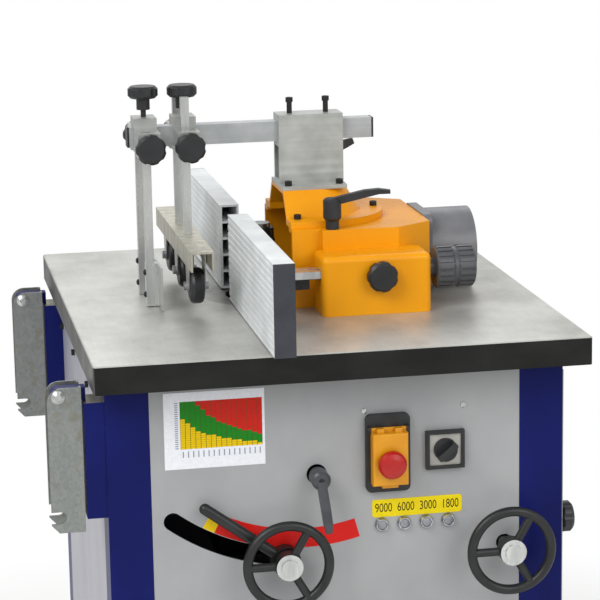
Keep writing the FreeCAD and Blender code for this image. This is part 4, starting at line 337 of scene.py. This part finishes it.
def new_piece(name, points, faces, materials, index=None):
    """A mesh object at the origin from arrays of points and of four-cornered faces."""
    mesh = bpy.data.meshes.new(name)
    mesh.from_pydata(points.reshape(-1, 3).tolist(), [], faces.tolist())
    for material in materials:
        mesh.materials.append(material)
    if index is not None:
        mesh.polygons.foreach_set("material_index", index.astype(np.int32))
    mesh.update()
    piece = bpy.data.objects.new(name, mesh)
    bpy.context.scene.collection.objects.link(piece)
    return piece


def tiles(x0, x1, z0, z1, y_back, y_front):
    """Thin blocks between arrays of x and z limits: eight corners and six faces for each."""
    x0, x1, z0, z1 = (np.asarray(v, float).ravel() for v in np.broadcast_arrays(x0, x1, z0, z1))
    corners = []
    for y in (y_back, y_front):
        for x, z in ((x0, z0), (x1, z0), (x1, z1), (x0, z1)):
            corners.append(np.stack([x, np.full_like(x, y), z], axis=1))
    points = np.stack(corners, axis=1)
    block = np.array([[0, 3, 2, 1], [4, 5, 6, 7], [0, 1, 5, 4], [1, 2, 6, 5], [2, 3, 7, 6], [3, 0, 4, 7]])
    faces = (np.arange(len(x0))[:, None, None] * 8 + block[None]).reshape(-1, 4)
    return points, faces


table_left = table_low[0]
table_front = table_low[1]
chart_left = table_left + 101 * mm
chart_width = 142 * mm
chart_top = top_z - 59 * mm
chart_height = 110 * mm
card = 0.5 * mm
ink = 0.12 * mm
columns = 16
rows = 22
zone_left = chart_left + 0.16 * chart_width
zone_right = chart_left + 0.975 * chart_width
zone_top = chart_top - 0.12 * chart_height
zone_low = chart_top - 0.74 * chart_height
white_card = card_ink("white printed card", "#E9EBF0")
red_ink = card_ink("red ink", "#D5201C")
green_ink = card_ink("green ink", "#16861F")
yellow_ink = card_ink("yellow ink", "#E9C40C")
line_ink = card_ink("grid line ink", "#4A4A1C")
grey_ink = card_ink("grey tick ink", "#8E93A6")
points, faces = tiles(chart_left, chart_left + chart_width, chart_top - chart_height, chart_top,
                      panel_front, panel_front - card)
chart_card = new_piece("chart_card", points, faces, [white_card])
card_front = panel_front - card
points, faces = tiles(zone_left, zone_right, zone_low, zone_top, card_front, card_front - ink / 2)
chart_lines = new_piece("chart_lines", points, faces, [line_ink])
column, row = np.meshgrid(np.arange(columns), np.arange(rows), indexing="ij")
cell_x = (zone_right - zone_left) / columns
cell_z = (zone_top - zone_low) / rows
level = (row + 0.5) / rows
slow_limit = 0.83 / (1 + 0.14 * column) - 0.2
fast_limit = 1.75 / (1 + 0.16 * column) - 0.27
zone = np.where(level < slow_limit, 2, np.where(level < fast_limit, 1, 0)).ravel()
inset = 0.045
points, faces = tiles(zone_left + (column + inset) * cell_x, zone_left + (column + 1 - inset) * cell_x,
                      zone_low + (row + inset) * cell_z, zone_low + (row + 1 - inset) * cell_z,
                      card_front, card_front - ink)
chart_cells = new_piece("chart_cells", points, faces, [red_ink, green_ink, yellow_ink], np.repeat(zone, 6))
tick_x = zone_left + (np.arange(columns) + 0.5) * cell_x
tick_z = zone_low + (np.arange(rows) + 0.5) * cell_z
below = zone_low - 0.03 * chart_height
beside = zone_left - 0.02 * chart_width
tick_left = np.concatenate([tick_x - 0.8 * mm, np.full(rows, beside - 4.5 * mm)])
tick_right = np.concatenate([tick_x + 0.8 * mm, np.full(rows, beside)])
tick_low = np.concatenate([np.full(columns, below - 9 * mm), tick_z - 0.7 * mm])
tick_high = np.concatenate([np.full(columns, below), tick_z + 0.7 * mm])
points, faces = tiles(tick_left, tick_right, tick_low, tick_high, card_front, card_front - ink)
chart_ticks = new_piece("chart_ticks", points, faces, [grey_ink])
for piece in (chart_card, chart_lines, chart_cells, chart_ticks):
    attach(piece, "frame")

# The tilt scale is printed film stuck on the panel along the tilt slot: a red band with a
# yellow end.
tilt_joint = next(joint for joint in frame["joints"] if joint["name"] == "spindle_tilt")
pivot_x, pivot_z = tilt_joint["pos_m"][0], tilt_joint["pos_m"][2]


def arc_band(inner, outer, from_deg, to_deg, y_back, y_front, count=40):
    """A flat band about the tilt axis: angle from straight down along it, radius across it."""
    turn = np.radians(np.linspace(from_deg, to_deg, count))
    ring = []
    for radius, y in ((inner, y_back), (outer, y_back), (outer, y_front), (inner, y_front)):
        x = pivot_x - radius * np.sin(turn)
        z = pivot_z - radius * np.cos(turn)
        ring.append(np.stack([x, np.full(count, y), z], 1))
    points = np.stack(ring, axis=1)
    step = np.arange(count - 1)[:, None] * 4
    side = np.arange(4)[None]
    next_side = (side + 1) % 4
    faces = np.stack([step + side, step + next_side, step + 4 + next_side, step + 4 + side], -1)
    last = 4 * (count - 1)
    caps = np.array([[3, 2, 1, 0], [last, last + 1, last + 2, last + 3]])
    return points, np.concatenate([faces.reshape(-1, 4), caps])


band_inner = 268 * mm
band_outer = 296 * mm
band_film = 0.3 * mm
for name, ink_material, from_deg, to_deg in (("tilt_band_red", red_ink, -15, 26.5),
                                             ("tilt_band_yellow", yellow_ink, 26.5, 30)):
    points, faces = arc_band(band_inner, band_outer, from_deg, to_deg, panel_front, panel_front - band_film)
    band = new_piece(name, points, faces, [ink_material])
    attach(band, "frame")


# The speed label is a yellow plastic plate stuck on the panel, with a plain number printed
# over each lamp.
def rounded_plate(x0, x1, z0, z1, radius, y_back, y_front, corner=8):
    """A plate whose outline is a rectangle with quarter circles, as two fans and a rim."""
    turn = np.linspace(0, math.pi / 2, corner)
    quarters = []
    for k, (x, z) in enumerate(((x1, z1), (x0, z1), (x0, z0), (x1, z0))):
        centre_x = x - radius if x == x1 else x + radius
        centre_z = z - radius if z == z1 else z + radius
        quarters.append(np.stack([centre_x + radius * np.cos(turn + k * math.pi / 2),
                                  centre_z + radius * np.sin(turn + k * math.pi / 2)], 1))
    outline = np.concatenate(quarters)
    count = len(outline)
    front = np.stack([outline[:, 0], np.full(count, y_front), outline[:, 1]], 1)
    back = np.stack([outline[:, 0], np.full(count, y_back), outline[:, 1]], 1)
    index = np.arange(count)
    rim = np.stack([index, index + count, (index + 1) % count + count, (index + 1) % count], 1)
    return np.concatenate([front, back]), [index.tolist(), (index + count)[::-1].tolist()] + rim.tolist()


label_left = table_left + 395 * mm
label_right = table_left + 526 * mm
label_top = top_z - 234 * mm
label_low = top_z - 260 * mm
label_sheet = 0.5 * mm
points, plate_faces = rounded_plate(label_left, label_right, label_low, label_top, 4 * mm, panel_front,
                                    panel_front - label_sheet)
label_mesh = bpy.data.meshes.new("speed_label")
label_mesh.from_pydata(points.tolist(), [], plate_faces)
label_mesh.materials.append(card_ink("yellow label", "#E8D114"))
speed_label = bpy.data.objects.new("speed_label", label_mesh)
bpy.context.scene.collection.objects.link(speed_label)
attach(speed_label, "frame")
digit_ink = card_ink("black label ink", "#23230F")
lamp_first = table_left + 408.7 * mm
lamp_pitch = 32.4 * mm
lamp_z = top_z - 270.5 * mm
lamp_reach = 14 * mm
for index, number in enumerate(("9000", "6000", "3000", "1800")):
    letters = bpy.data.curves.new("speed_" + number, "FONT")
    letters.body = number
    letters.size = 15.5 * mm
    letters.align_x = "CENTER"
    letters.align_y = "CENTER"
    letters.extrude = 0.08 * mm
    holder = bpy.data.objects.new("speed_" + number, letters)
    bpy.context.scene.collection.objects.link(holder)
    bpy.context.view_layer.update()
    flat = bpy.data.meshes.new_from_object(holder.evaluated_get(bpy.context.evaluated_depsgraph_get()))
    bpy.data.objects.remove(holder)
    narrow = Matrix.Diagonal((0.82, 1.2, 1.0, 1.0))
    stand = Matrix.Translation((lamp_first + index * lamp_pitch + 3 * mm, panel_front - label_sheet,
                                (label_low + label_top) / 2)) @ Matrix.Rotation(math.pi / 2, 4, "X")
    flat.transform(stand @ narrow)
    flat.materials.clear()
    flat.materials.append(digit_ink)
    digits = bpy.data.objects.new("speed_number_" + str(index + 1), flat)
    bpy.context.scene.collection.objects.link(digits)
    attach(digits, "frame")


# The panel fittings: a moulded black switch plate, a selector frame with a pale face, and
# four chromed push lamps with domed clear lenses.
def moulded(name, colour, light, roughness, grain_mm=0.9, depth_mm=0.03, edge_mm=0.8):
    """Moulded plastic: even colour, spark-eroded grain and softly rounded edges."""
    material, tree, shader, place = new_surface(name, roughness, 0.0)
    grain = noise(tree, place, (grain_mm,) * 3, 2.0)
    tone = noise(tree, place, (25, 25, 25), 3.0)
    tree.links.new(mixed(tree, spread(tree, tone, 0.3, 0.7), colour, light), shader.inputs["Base Color"])
    gloss = spread(tree, grain, 0.3, 0.7, roughness - 0.05, roughness + 0.07)
    tree.links.new(gloss, shader.inputs["Roughness"])
    relief(tree, shader, grain, depth_mm, edge_mm)
    return material


def chromed(name, colour, roughness):
    """Bright chrome plate with faint haze."""
    material, tree, shader, place = new_surface(name, roughness, 1.0)
    haze = noise(tree, place, (5, 5, 5))
    tree.links.new(mixed(tree, spread(tree, haze, 0.3, 0.7), "#8E9093", colour), shader.inputs["Base Color"])
    relief(tree, shader, haze, 0.01, 0)
    return material


black_plastic = moulded("black moulded nylon", "#17181A", "#242527", 0.4)
chrome = chromed("chromed brass", "#C9CBCF", 0.16)
lens_plastic = moulded("grey lens plastic", "#77797F", "#9EA0A6", 0.2, 3.0, 0.01)
centres, normals = faces_of("panel_fittings")
lamp_faces = (centres[:, 2] < lamp_z + lamp_reach) & (centres[:, 0] > lamp_first - lamp_reach)
dress("panel_fittings", [black_plastic, chrome], np.where(lamp_faces, 1, 0))


def dome(x, z, radius, y_base, height, around=28, up=8):
    """A shallow cap facing the operator: the radius falls as a cosine while it rises as a sine."""
    turn = np.linspace(0, 2 * math.pi, around, endpoint=False)
    lift = np.linspace(0, math.pi / 2, up)[:-1]
    ring = radius * np.cos(lift)[:, None]
    rise = np.broadcast_to(y_base - height * np.sin(lift)[:, None], (up - 1, around))
    points = np.stack([x + ring * np.cos(turn), rise, z + ring * np.sin(turn)], -1).reshape(-1, 3)
    points = np.concatenate([points, [[x, y_base - height, z], [x, y_base, z]]])
    here = np.arange(around)
    after = (here + 1) % around
    band = np.stack([here, after, around + after, around + here], 1)
    walls = [band + k * around for k in range(up - 2)]
    top = (up - 2) * around
    tip = [[top + a, top + b, len(points) - 2] for a, b in zip(here, after)]
    foot = [[b, a, len(points) - 1] for a, b in zip(here, after)]
    return points, np.concatenate(walls).tolist() + tip + foot


def smooth_piece(name, points, faces, material):
    """A mesh object from points and mixed faces, with smooth shading."""
    mesh = bpy.data.meshes.new(name)
    mesh.from_pydata(np.asarray(points).tolist(), [], faces)
    mesh.materials.append(material)
    mesh.polygons.foreach_set("use_smooth", np.ones(len(mesh.polygons), bool))
    mesh.update()
    piece = bpy.data.objects.new(name, mesh)
    bpy.context.scene.collection.objects.link(piece)
    return piece


lens_radius = 6.8 * mm
lens_base = panel_front - 4.5 * mm
lens_rise = 3.4 * mm
for index in range(4):
    lamp_x = lamp_first + index * lamp_pitch
    points, dome_faces = dome(lamp_x, lamp_z, lens_radius, lens_base, lens_rise)
    lens = smooth_piece("lamp_lens_" + str(index + 1), points, dome_faces, lens_plastic)
    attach(lens, "frame")

selector_low, selector_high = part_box("selector_knob")
selector_x = (selector_low[0] + selector_high[0]) / 2
selector_z = (selector_low[2] + selector_high[2]) / 2
selector_front = panel_front - 5 * mm
face_half = 23 * mm
pale_face = moulded("pale printed face", "#A7A59F", "#B7B5AF", 0.4, 3.0, 0.01)
points, plate_faces = rounded_plate(selector_x - face_half, selector_x + face_half, selector_z - face_half,
                                    selector_z + face_half, 2 * mm, selector_front,
                                    selector_front - 0.03 * mm)
selector_face = smooth_piece("selector_face", points, plate_faces, pale_face)
selector_face.data.polygons.foreach_set("use_smooth", np.zeros(len(selector_face.data.polygons), bool))
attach(selector_face, "frame")
rim_half = 28 * mm
rim_wide = 5 * mm
rim_x = np.array([-rim_half, rim_half - rim_wide, -rim_half + rim_wide, -rim_half + rim_wide])
rim_x_end = np.array([-rim_half + rim_wide, rim_half, rim_half - rim_wide, rim_half - rim_wide])
rim_z = np.array([-rim_half, -rim_half, -rim_half, rim_half - rim_wide])
rim_z_end = np.array([rim_half, rim_half, -rim_half + rim_wide, rim_half])
points, faces = tiles(selector_x + rim_x, selector_x + rim_x_end, selector_z + rim_z, selector_z + rim_z_end,
                      selector_front, selector_front - 3 * mm)
selector_rim = new_piece("selector_rim", points, faces, [black_plastic])
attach(selector_rim, "frame")
dress("selector_knob", [black_plastic])

# The stop switch: a yellow lid on two moulded hinge eyes with a catch below, a red mushroom
# that stands through it, and the green start button behind.
yellow_abs = moulded("yellow ABS", "#D38C06", "#DE990C", 0.36, 1.4, 0.015, 1.0)
red_abs = moulded("red ABS", "#A6100B", "#B21811", 0.36, 1.6, 0.012, 1.0)
green_abs = moulded("green ABS", "#178A3C", "#1F9C49", 0.3, 1.6, 0.012)
dress("stop_lid", [yellow_abs])
dress("stop_mushroom", [red_abs])
dress("start_button", [green_abs])
lid_low, lid_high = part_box("stop_lid")
lid_middle = (lid_low[0] + lid_high[0]) / 2
eye_spread = 13 * mm
eye_half = 5.5 * mm
catch_half = 12 * mm
eye_x = np.array([lid_middle - eye_spread, lid_middle + eye_spread])
eye_left = np.append(eye_x - eye_half, lid_middle - catch_half)
eye_right = np.append(eye_x + eye_half, lid_middle + catch_half)
points, faces = tiles(eye_left, eye_right,
                      np.array([lid_high[2] - 9 * mm, lid_high[2] - 9 * mm, lid_low[2] - 5 * mm]),
                      np.array([lid_high[2], lid_high[2], lid_low[2] + 2 * mm]),
                      lid_high[1] - 2 * mm, lid_low[1] + 6 * mm)
lid_eyes = new_piece("lid_eyes", points, faces, [yellow_abs])
soften = lid_eyes.modifiers.new("soft edges", "BEVEL")
soften.width = 1.2 * mm
soften.segments = 3
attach(lid_eyes, "stop_lid")

# The handwheels are moulded black rims on plated hubs and steel shafts. The clamping levers
# are die-cast, and the star knobs are black nylon moulded on studs.
dark_grip = moulded("black handwheel plastic", "#131415", "#1E1F20", 0.42, 1.1, 0.02)
rim_depth = 26 * mm
hub_cap = 3.2 * mm
for node in ("lift_handwheel", "tilt_handwheel"):
    low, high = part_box(node)
    centres, normals = faces_of(node)
    behind = centres[:, 1] > low[1] + rim_depth
    cap = centres[:, 1] < low[1] + hub_cap
    dress(node, [dark_grip, steel, bright_zinc], np.where(behind, 1, np.where(cap, 2, 0)))
dress("lift_lock_lever", [dark_grip])
lever_grey = moulded("grey die-cast lever", "#34363A", "#43454A", 0.36, 1.2, 0.02)
dress("tilt_lock_lever", [lever_grey])
lock_joint = next(joint for joint in frame["joints"] if joint["name"] == "tilt_lock_turn")
lock_x, lock_z = lock_joint["pos_m"][0], lock_joint["pos_m"][2]
centres, normals = faces_of("tilt_lock_lever")
hub_reach = 9 * mm
screw_radius = 4.5 * mm
hub_faces = np.hypot(centres[:, 0] - lock_x, centres[:, 2] - lock_z) < hub_reach
hub_front = centres[hub_faces, 1].min()
points, dome_faces = dome(lock_x, lock_z, screw_radius, hub_front + 0.2 * mm, 0.6 * mm)
lever_screw = smooth_piece("lever_screw", points, dome_faces, black_oxide)
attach(lever_screw, "tilt_lock_lever")
lever_black = moulded("black die-cast lever", "#1E1F22", "#2C2D30", 0.44, 1.2, 0.03)
dress("hood_lever", [lever_black])
dress("tower_lever", [lever_black])
for node in ("door_knob", "box_knob_near", "box_knob_far", "top_knob_1", "top_knob_2", "front_knob_1",
             "front_knob_2", "rear_knob_1", "rear_knob_2"):
    dress(node, [black_plastic])


# The fence plates are hollow aluminium extrusions with a drawn finish along their length;
# the front one has a dark moulded end cap. The bars are ground steel with black blocks.
def extruded(name, length_mm, dark, light, metallic=0.4):
    """Extruded aluminium: die lines along its length and a soft grey oxide."""
    material, tree, shader, place = new_surface(name, 0.36, metallic)
    lines = noise(tree, place, length_mm, 4.0)
    oxide = noise(tree, place, (45, 45, 45), 4.0)
    streak = spread(tree, lines, 0.3, 0.7, -0.15, 0.15)
    share = worked(tree, "ADD", spread(tree, oxide, 0.3, 0.7, 0.15, 0.85), streak)
    tree.links.new(mixed(tree, share, dark, light), shader.inputs["Base Color"])
    tree.links.new(spread(tree, lines, 0.3, 0.7, 0.3, 0.44), shader.inputs["Roughness"])
    relief(tree, shader, lines, 0.02, 0.5)
    return material


fence_aluminium = extruded("drawn aluminium along the fence", (0.8, 160, 0.8), "#CDD2D4", "#EBEEEF", 0.1)
arm_aluminium = extruded("drawn aluminium along the arm", (160, 0.8, 0.8), "#989C9D", "#BBBEBF")
tower_aluminium = extruded("drawn aluminium across the tower", (300, 300, 7), "#959894", "#C2C4C0")
cap_plastic = moulded("dark grey end cap", "#292B32", "#33353D", 0.5, 1.5, 0.03)
cap_depth = 2.6 * mm
for node, cap_at in (("front_fence_plate", 0), ("rear_fence_plate", 1)):
    edge_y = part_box(node)[cap_at][1]
    centres, normals = faces_of(node)
    dress(node, [fence_aluminium, cap_plastic], np.where(np.abs(centres[:, 1] - edge_y) < cap_depth, 1, 0))
polished = plated("ground steel bar", "#B9BBBC", "#DEDFDF", 0.22, 1.2)
bar_height = 12.5 * mm
bar_inside = 60 * mm
for node in ("front_fence_bar", "rear_fence_bar"):
    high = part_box(node)[1]
    centres, normals = faces_of(node)
    block = (centres[:, 2] < high[2] - bar_height) & (centres[:, 0] < high[0] - bar_inside)
    dress(node, [polished, black_oxide], np.where(block, 1, 0))

# The hood and its cover are castings in orange enamel; the outlet behind is dark moulded
# plastic, and the fine adjuster is a ribbed grey-black knob.
orange_enamel = enamel("orange casting enamel", "#E29204", "#EEA20A", 0.3, "#D9A040", peel_mm=5.0,
                       sheen=0.24, wear=0.72)
dress("hood_body", [orange_enamel])
dress("hood_cover", [orange_enamel])
dress("hood_screws", [black_oxide])
outlet_plastic = moulded("dark grey outlet plastic", "#66676C", "#747579", 0.36, 1.6, 0.015)
dress("dust_outlet", [outlet_plastic])
knob_grey = moulded("grey-black knob plastic", "#46474B", "#525357", 0.38, 1.2, 0.015)
dress("fine_adjust_knob", [knob_grey])

# The presser tower, arm and carriers are sawn from aluminium sections; the arm's ends are
# closed with black plugs.
dress("presser_tower", [tower_aluminium])
plug_depth = 3.1 * mm
arm_low, arm_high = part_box("presser_arm")
centres, normals = faces_of("presser_arm")
plugs = (centres[:, 0] < arm_low[0] + plug_depth) | (centres[:, 0] > arm_high[0] - plug_depth)
dress("presser_arm", [arm_aluminium, black_plastic], np.where(plugs, 1, 0))
for node in ("carrier_1", "carrier_2"):
    dress(node, [tower_aluminium])

# The presser posts are zinc-plated steel. The shoe is held by black button screws, and the
# rollers are black tyres on grey hubs.
shoe_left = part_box("shoe_post")[0][0]
button_head = 3.45 * mm
centres, normals = faces_of("shoe_post")
dress("shoe_post", [bright_zinc, black_oxide], np.where(centres[:, 0] < shoe_left + button_head, 1, 0))
rod_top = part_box("roller_post")[1][2]
rod_length = 204.9 * mm
fork_drop = 234.1 * mm
centres, normals = faces_of("roller_post")
rods = centres[:, 2] > rod_top - rod_length
forks = centres[:, 2] < rod_top - fork_drop
dress("roller_post", [zinc, bright_zinc, steel], np.where(rods, 1, np.where(forks, 2, 0)))
tyre = rubber("black tyre", "#17171A", "#26262A", 0.4)
hub_plastic = moulded("grey hub plastic", "#6E7074", "#85878B", 0.4, 1.2, 0.02)
hub_radius = 15 * mm
for node in ("roller_1", "roller_2", "roller_3"):
    low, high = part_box(node)
    axle_y = (low[1] + high[1]) / 2
    axle_z = (low[2] + high[2]) / 2
    centres, normals = faces_of(node)
    radius = np.hypot(centres[:, 1] - axle_y, centres[:, 2] - axle_z)
    dress(node, [tyre, hub_plastic], np.where(radius < hub_radius, 1, 0))

# Inside the cabinet: painted castings carry the spindle and the motor, and the shafts,
# gears and pulleys are machined steel. The spindle's collars are blackened.
for node in ("trunnion_blocks", "tilt_gear_bracket", "tilt_cradle", "spindle_carriage", "drive_motor"):
    dress(node, [cast_paint])
for node in ("spindle_bearings", "spindle_pulley", "motor_pulley", "lift_screw", "tilt_pinion_shaft"):
    dress(node, [steel])
dress("drive_belt", [black_rubber])
arbor_radius = 15.2 * mm
spindle_low, spindle_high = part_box("spindle_shaft")
spindle_middle = [(a + b) / 2 for a, b in zip(spindle_low, spindle_high)]
centres, normals = faces_of("spindle_shaft")
from_axis = np.hypot(centres[:, 0] - spindle_middle[0], centres[:, 1] - spindle_middle[1])
arbor_end = from_axis < arbor_radius
arbor_steel = turned_steel("turned arbor steel", spindle_middle, "#7F8183", "#A7A9AA", 1.2, 0.32)
dress("spindle_shaft", [black_oxide, arbor_steel], np.where(arbor_end, 1, 0))

# The studio: a pale floor that shows white to the camera and keeps the shadow, a white
# surround, and four broad soft lamps.
floor_half = 14.0
floor_points = floor_half * np.array([[-1, -1, 0], [1, -1, 0], [1, 1, 0], [-1, 1, 0]])
floor_material, tree, shader, place = new_surface("pale floor", 0.7, 0.0)
dust = noise(tree, place, (300, 300, 300))
tree.links.new(mixed(tree, spread(tree, dust, 0.3, 0.7), "#EDEDEB", "#F2F2F0"), shader.inputs["Base Color"])
away = add(tree, "ShaderNodeVectorMath", {0: place}, operation="LENGTH").outputs["Value"]
ray = add(tree, "ShaderNodeLightPath", {})
looked_at = worked(tree, "MULTIPLY", ray.outputs["Is Camera Ray"], spread(tree, away, 0.75, 1.5))
glow = add(tree, "ShaderNodeEmission", {"Color": (1.0, 1.0, 1.0, 1.0), "Strength": 1.0})
fade = add(tree, "ShaderNodeMixShader", {0: looked_at, 1: shader.outputs[0], 2: glow.outputs[0]})
tree.links.new(fade.outputs[0], tree.nodes["Material Output"].inputs["Surface"])
floor = new_piece("floor", floor_points, np.array([[0, 1, 2, 3]]), [floor_material])

world = bpy.data.worlds.new("white surround")
bpy.context.scene.world = world
world.use_nodes = True
tree = world.node_tree
path = add(tree, "ShaderNodeLightPath", {})
seen = worked(tree, "MAXIMUM", path.outputs["Is Camera Ray"], path.outputs["Is Transmission Ray"])
strength = spread(tree, seen, 0.0, 1.0, 0.6, 1.0)
background = tree.nodes["Background"]
background.inputs["Color"].default_value = (1.0, 1.0, 1.0, 1.0)
tree.links.new(strength, background.inputs["Strength"])


def soft_lamp(name, place, aim, size, watts):
    """A square area lamp at a place, turned to face a point."""
    light = bpy.data.lights.new(name, "AREA")
    light.size = size
    light.energy = watts
    lamp = bpy.data.objects.new(name, light)
    bpy.context.scene.collection.objects.link(lamp)
    way = np.array(place) - np.array(aim)
    way = way / np.linalg.norm(way)
    side = np.cross((0.0, 0.0, 1.0), way)
    side = side / np.linalg.norm(side)
    up = np.cross(way, side)
    rows = [[side[k], up[k], way[k], place[k]] for k in range(3)] + [[0, 0, 0, 1]]
    lamp.matrix_world = Matrix(rows)
    return lamp


soft_lamp("key lamp", (-2.1, -1.9, 3.2), (0, 0, 0.9), 1.8, 74)
soft_lamp("fill lamp", (1.6, -2.8, 2.4), (0, 0, 0.8), 1.8, 34)
soft_lamp("rear lamp", (-0.6, 2.6, 3.0), (0, 0, 0.9), 1.8, 21)
soft_lamp("table lamp", (1.0, 2.6, 3.0), (0, 0, 0.9), 1.8, 12)

# The camera stands to the left of the operator, a little above the table, with a long lens
# and a slight roll, as in the photograph.
focal_pixels = 2400.0
picture_width = 600.0
yaw, pitch, roll = 0.18421, 0.21715, -0.01744
eye = np.array([table_left - 298.27 * mm, table_front - 3128.57 * mm, top_z + 778.64 * mm])
forward = np.array([math.sin(yaw) * math.cos(pitch), math.cos(yaw) * math.cos(pitch), -math.sin(pitch)])
right = np.array([math.cos(yaw), -math.sin(yaw), 0.0])
upward = np.cross(right, forward)
tilted_right = math.cos(roll) * right + math.sin(roll) * upward
tilted_up = -math.sin(roll) * right + math.cos(roll) * upward
optics = bpy.data.cameras.new("camera")
optics.sensor_width = 36.0
optics.lens = optics.sensor_width * focal_pixels / picture_width
optics.clip_end = 50.0
camera = bpy.data.objects.new("camera", optics)
bpy.context.scene.collection.objects.link(camera)
rows = [[tilted_right[k], tilted_up[k], -forward[k], eye[k]] for k in range(3)]
camera.matrix_world = Matrix(rows + [[0, 0, 0, 1]])
bpy.context.scene.camera = camera
bpy.context.scene.view_settings.view_transform = "Standard"
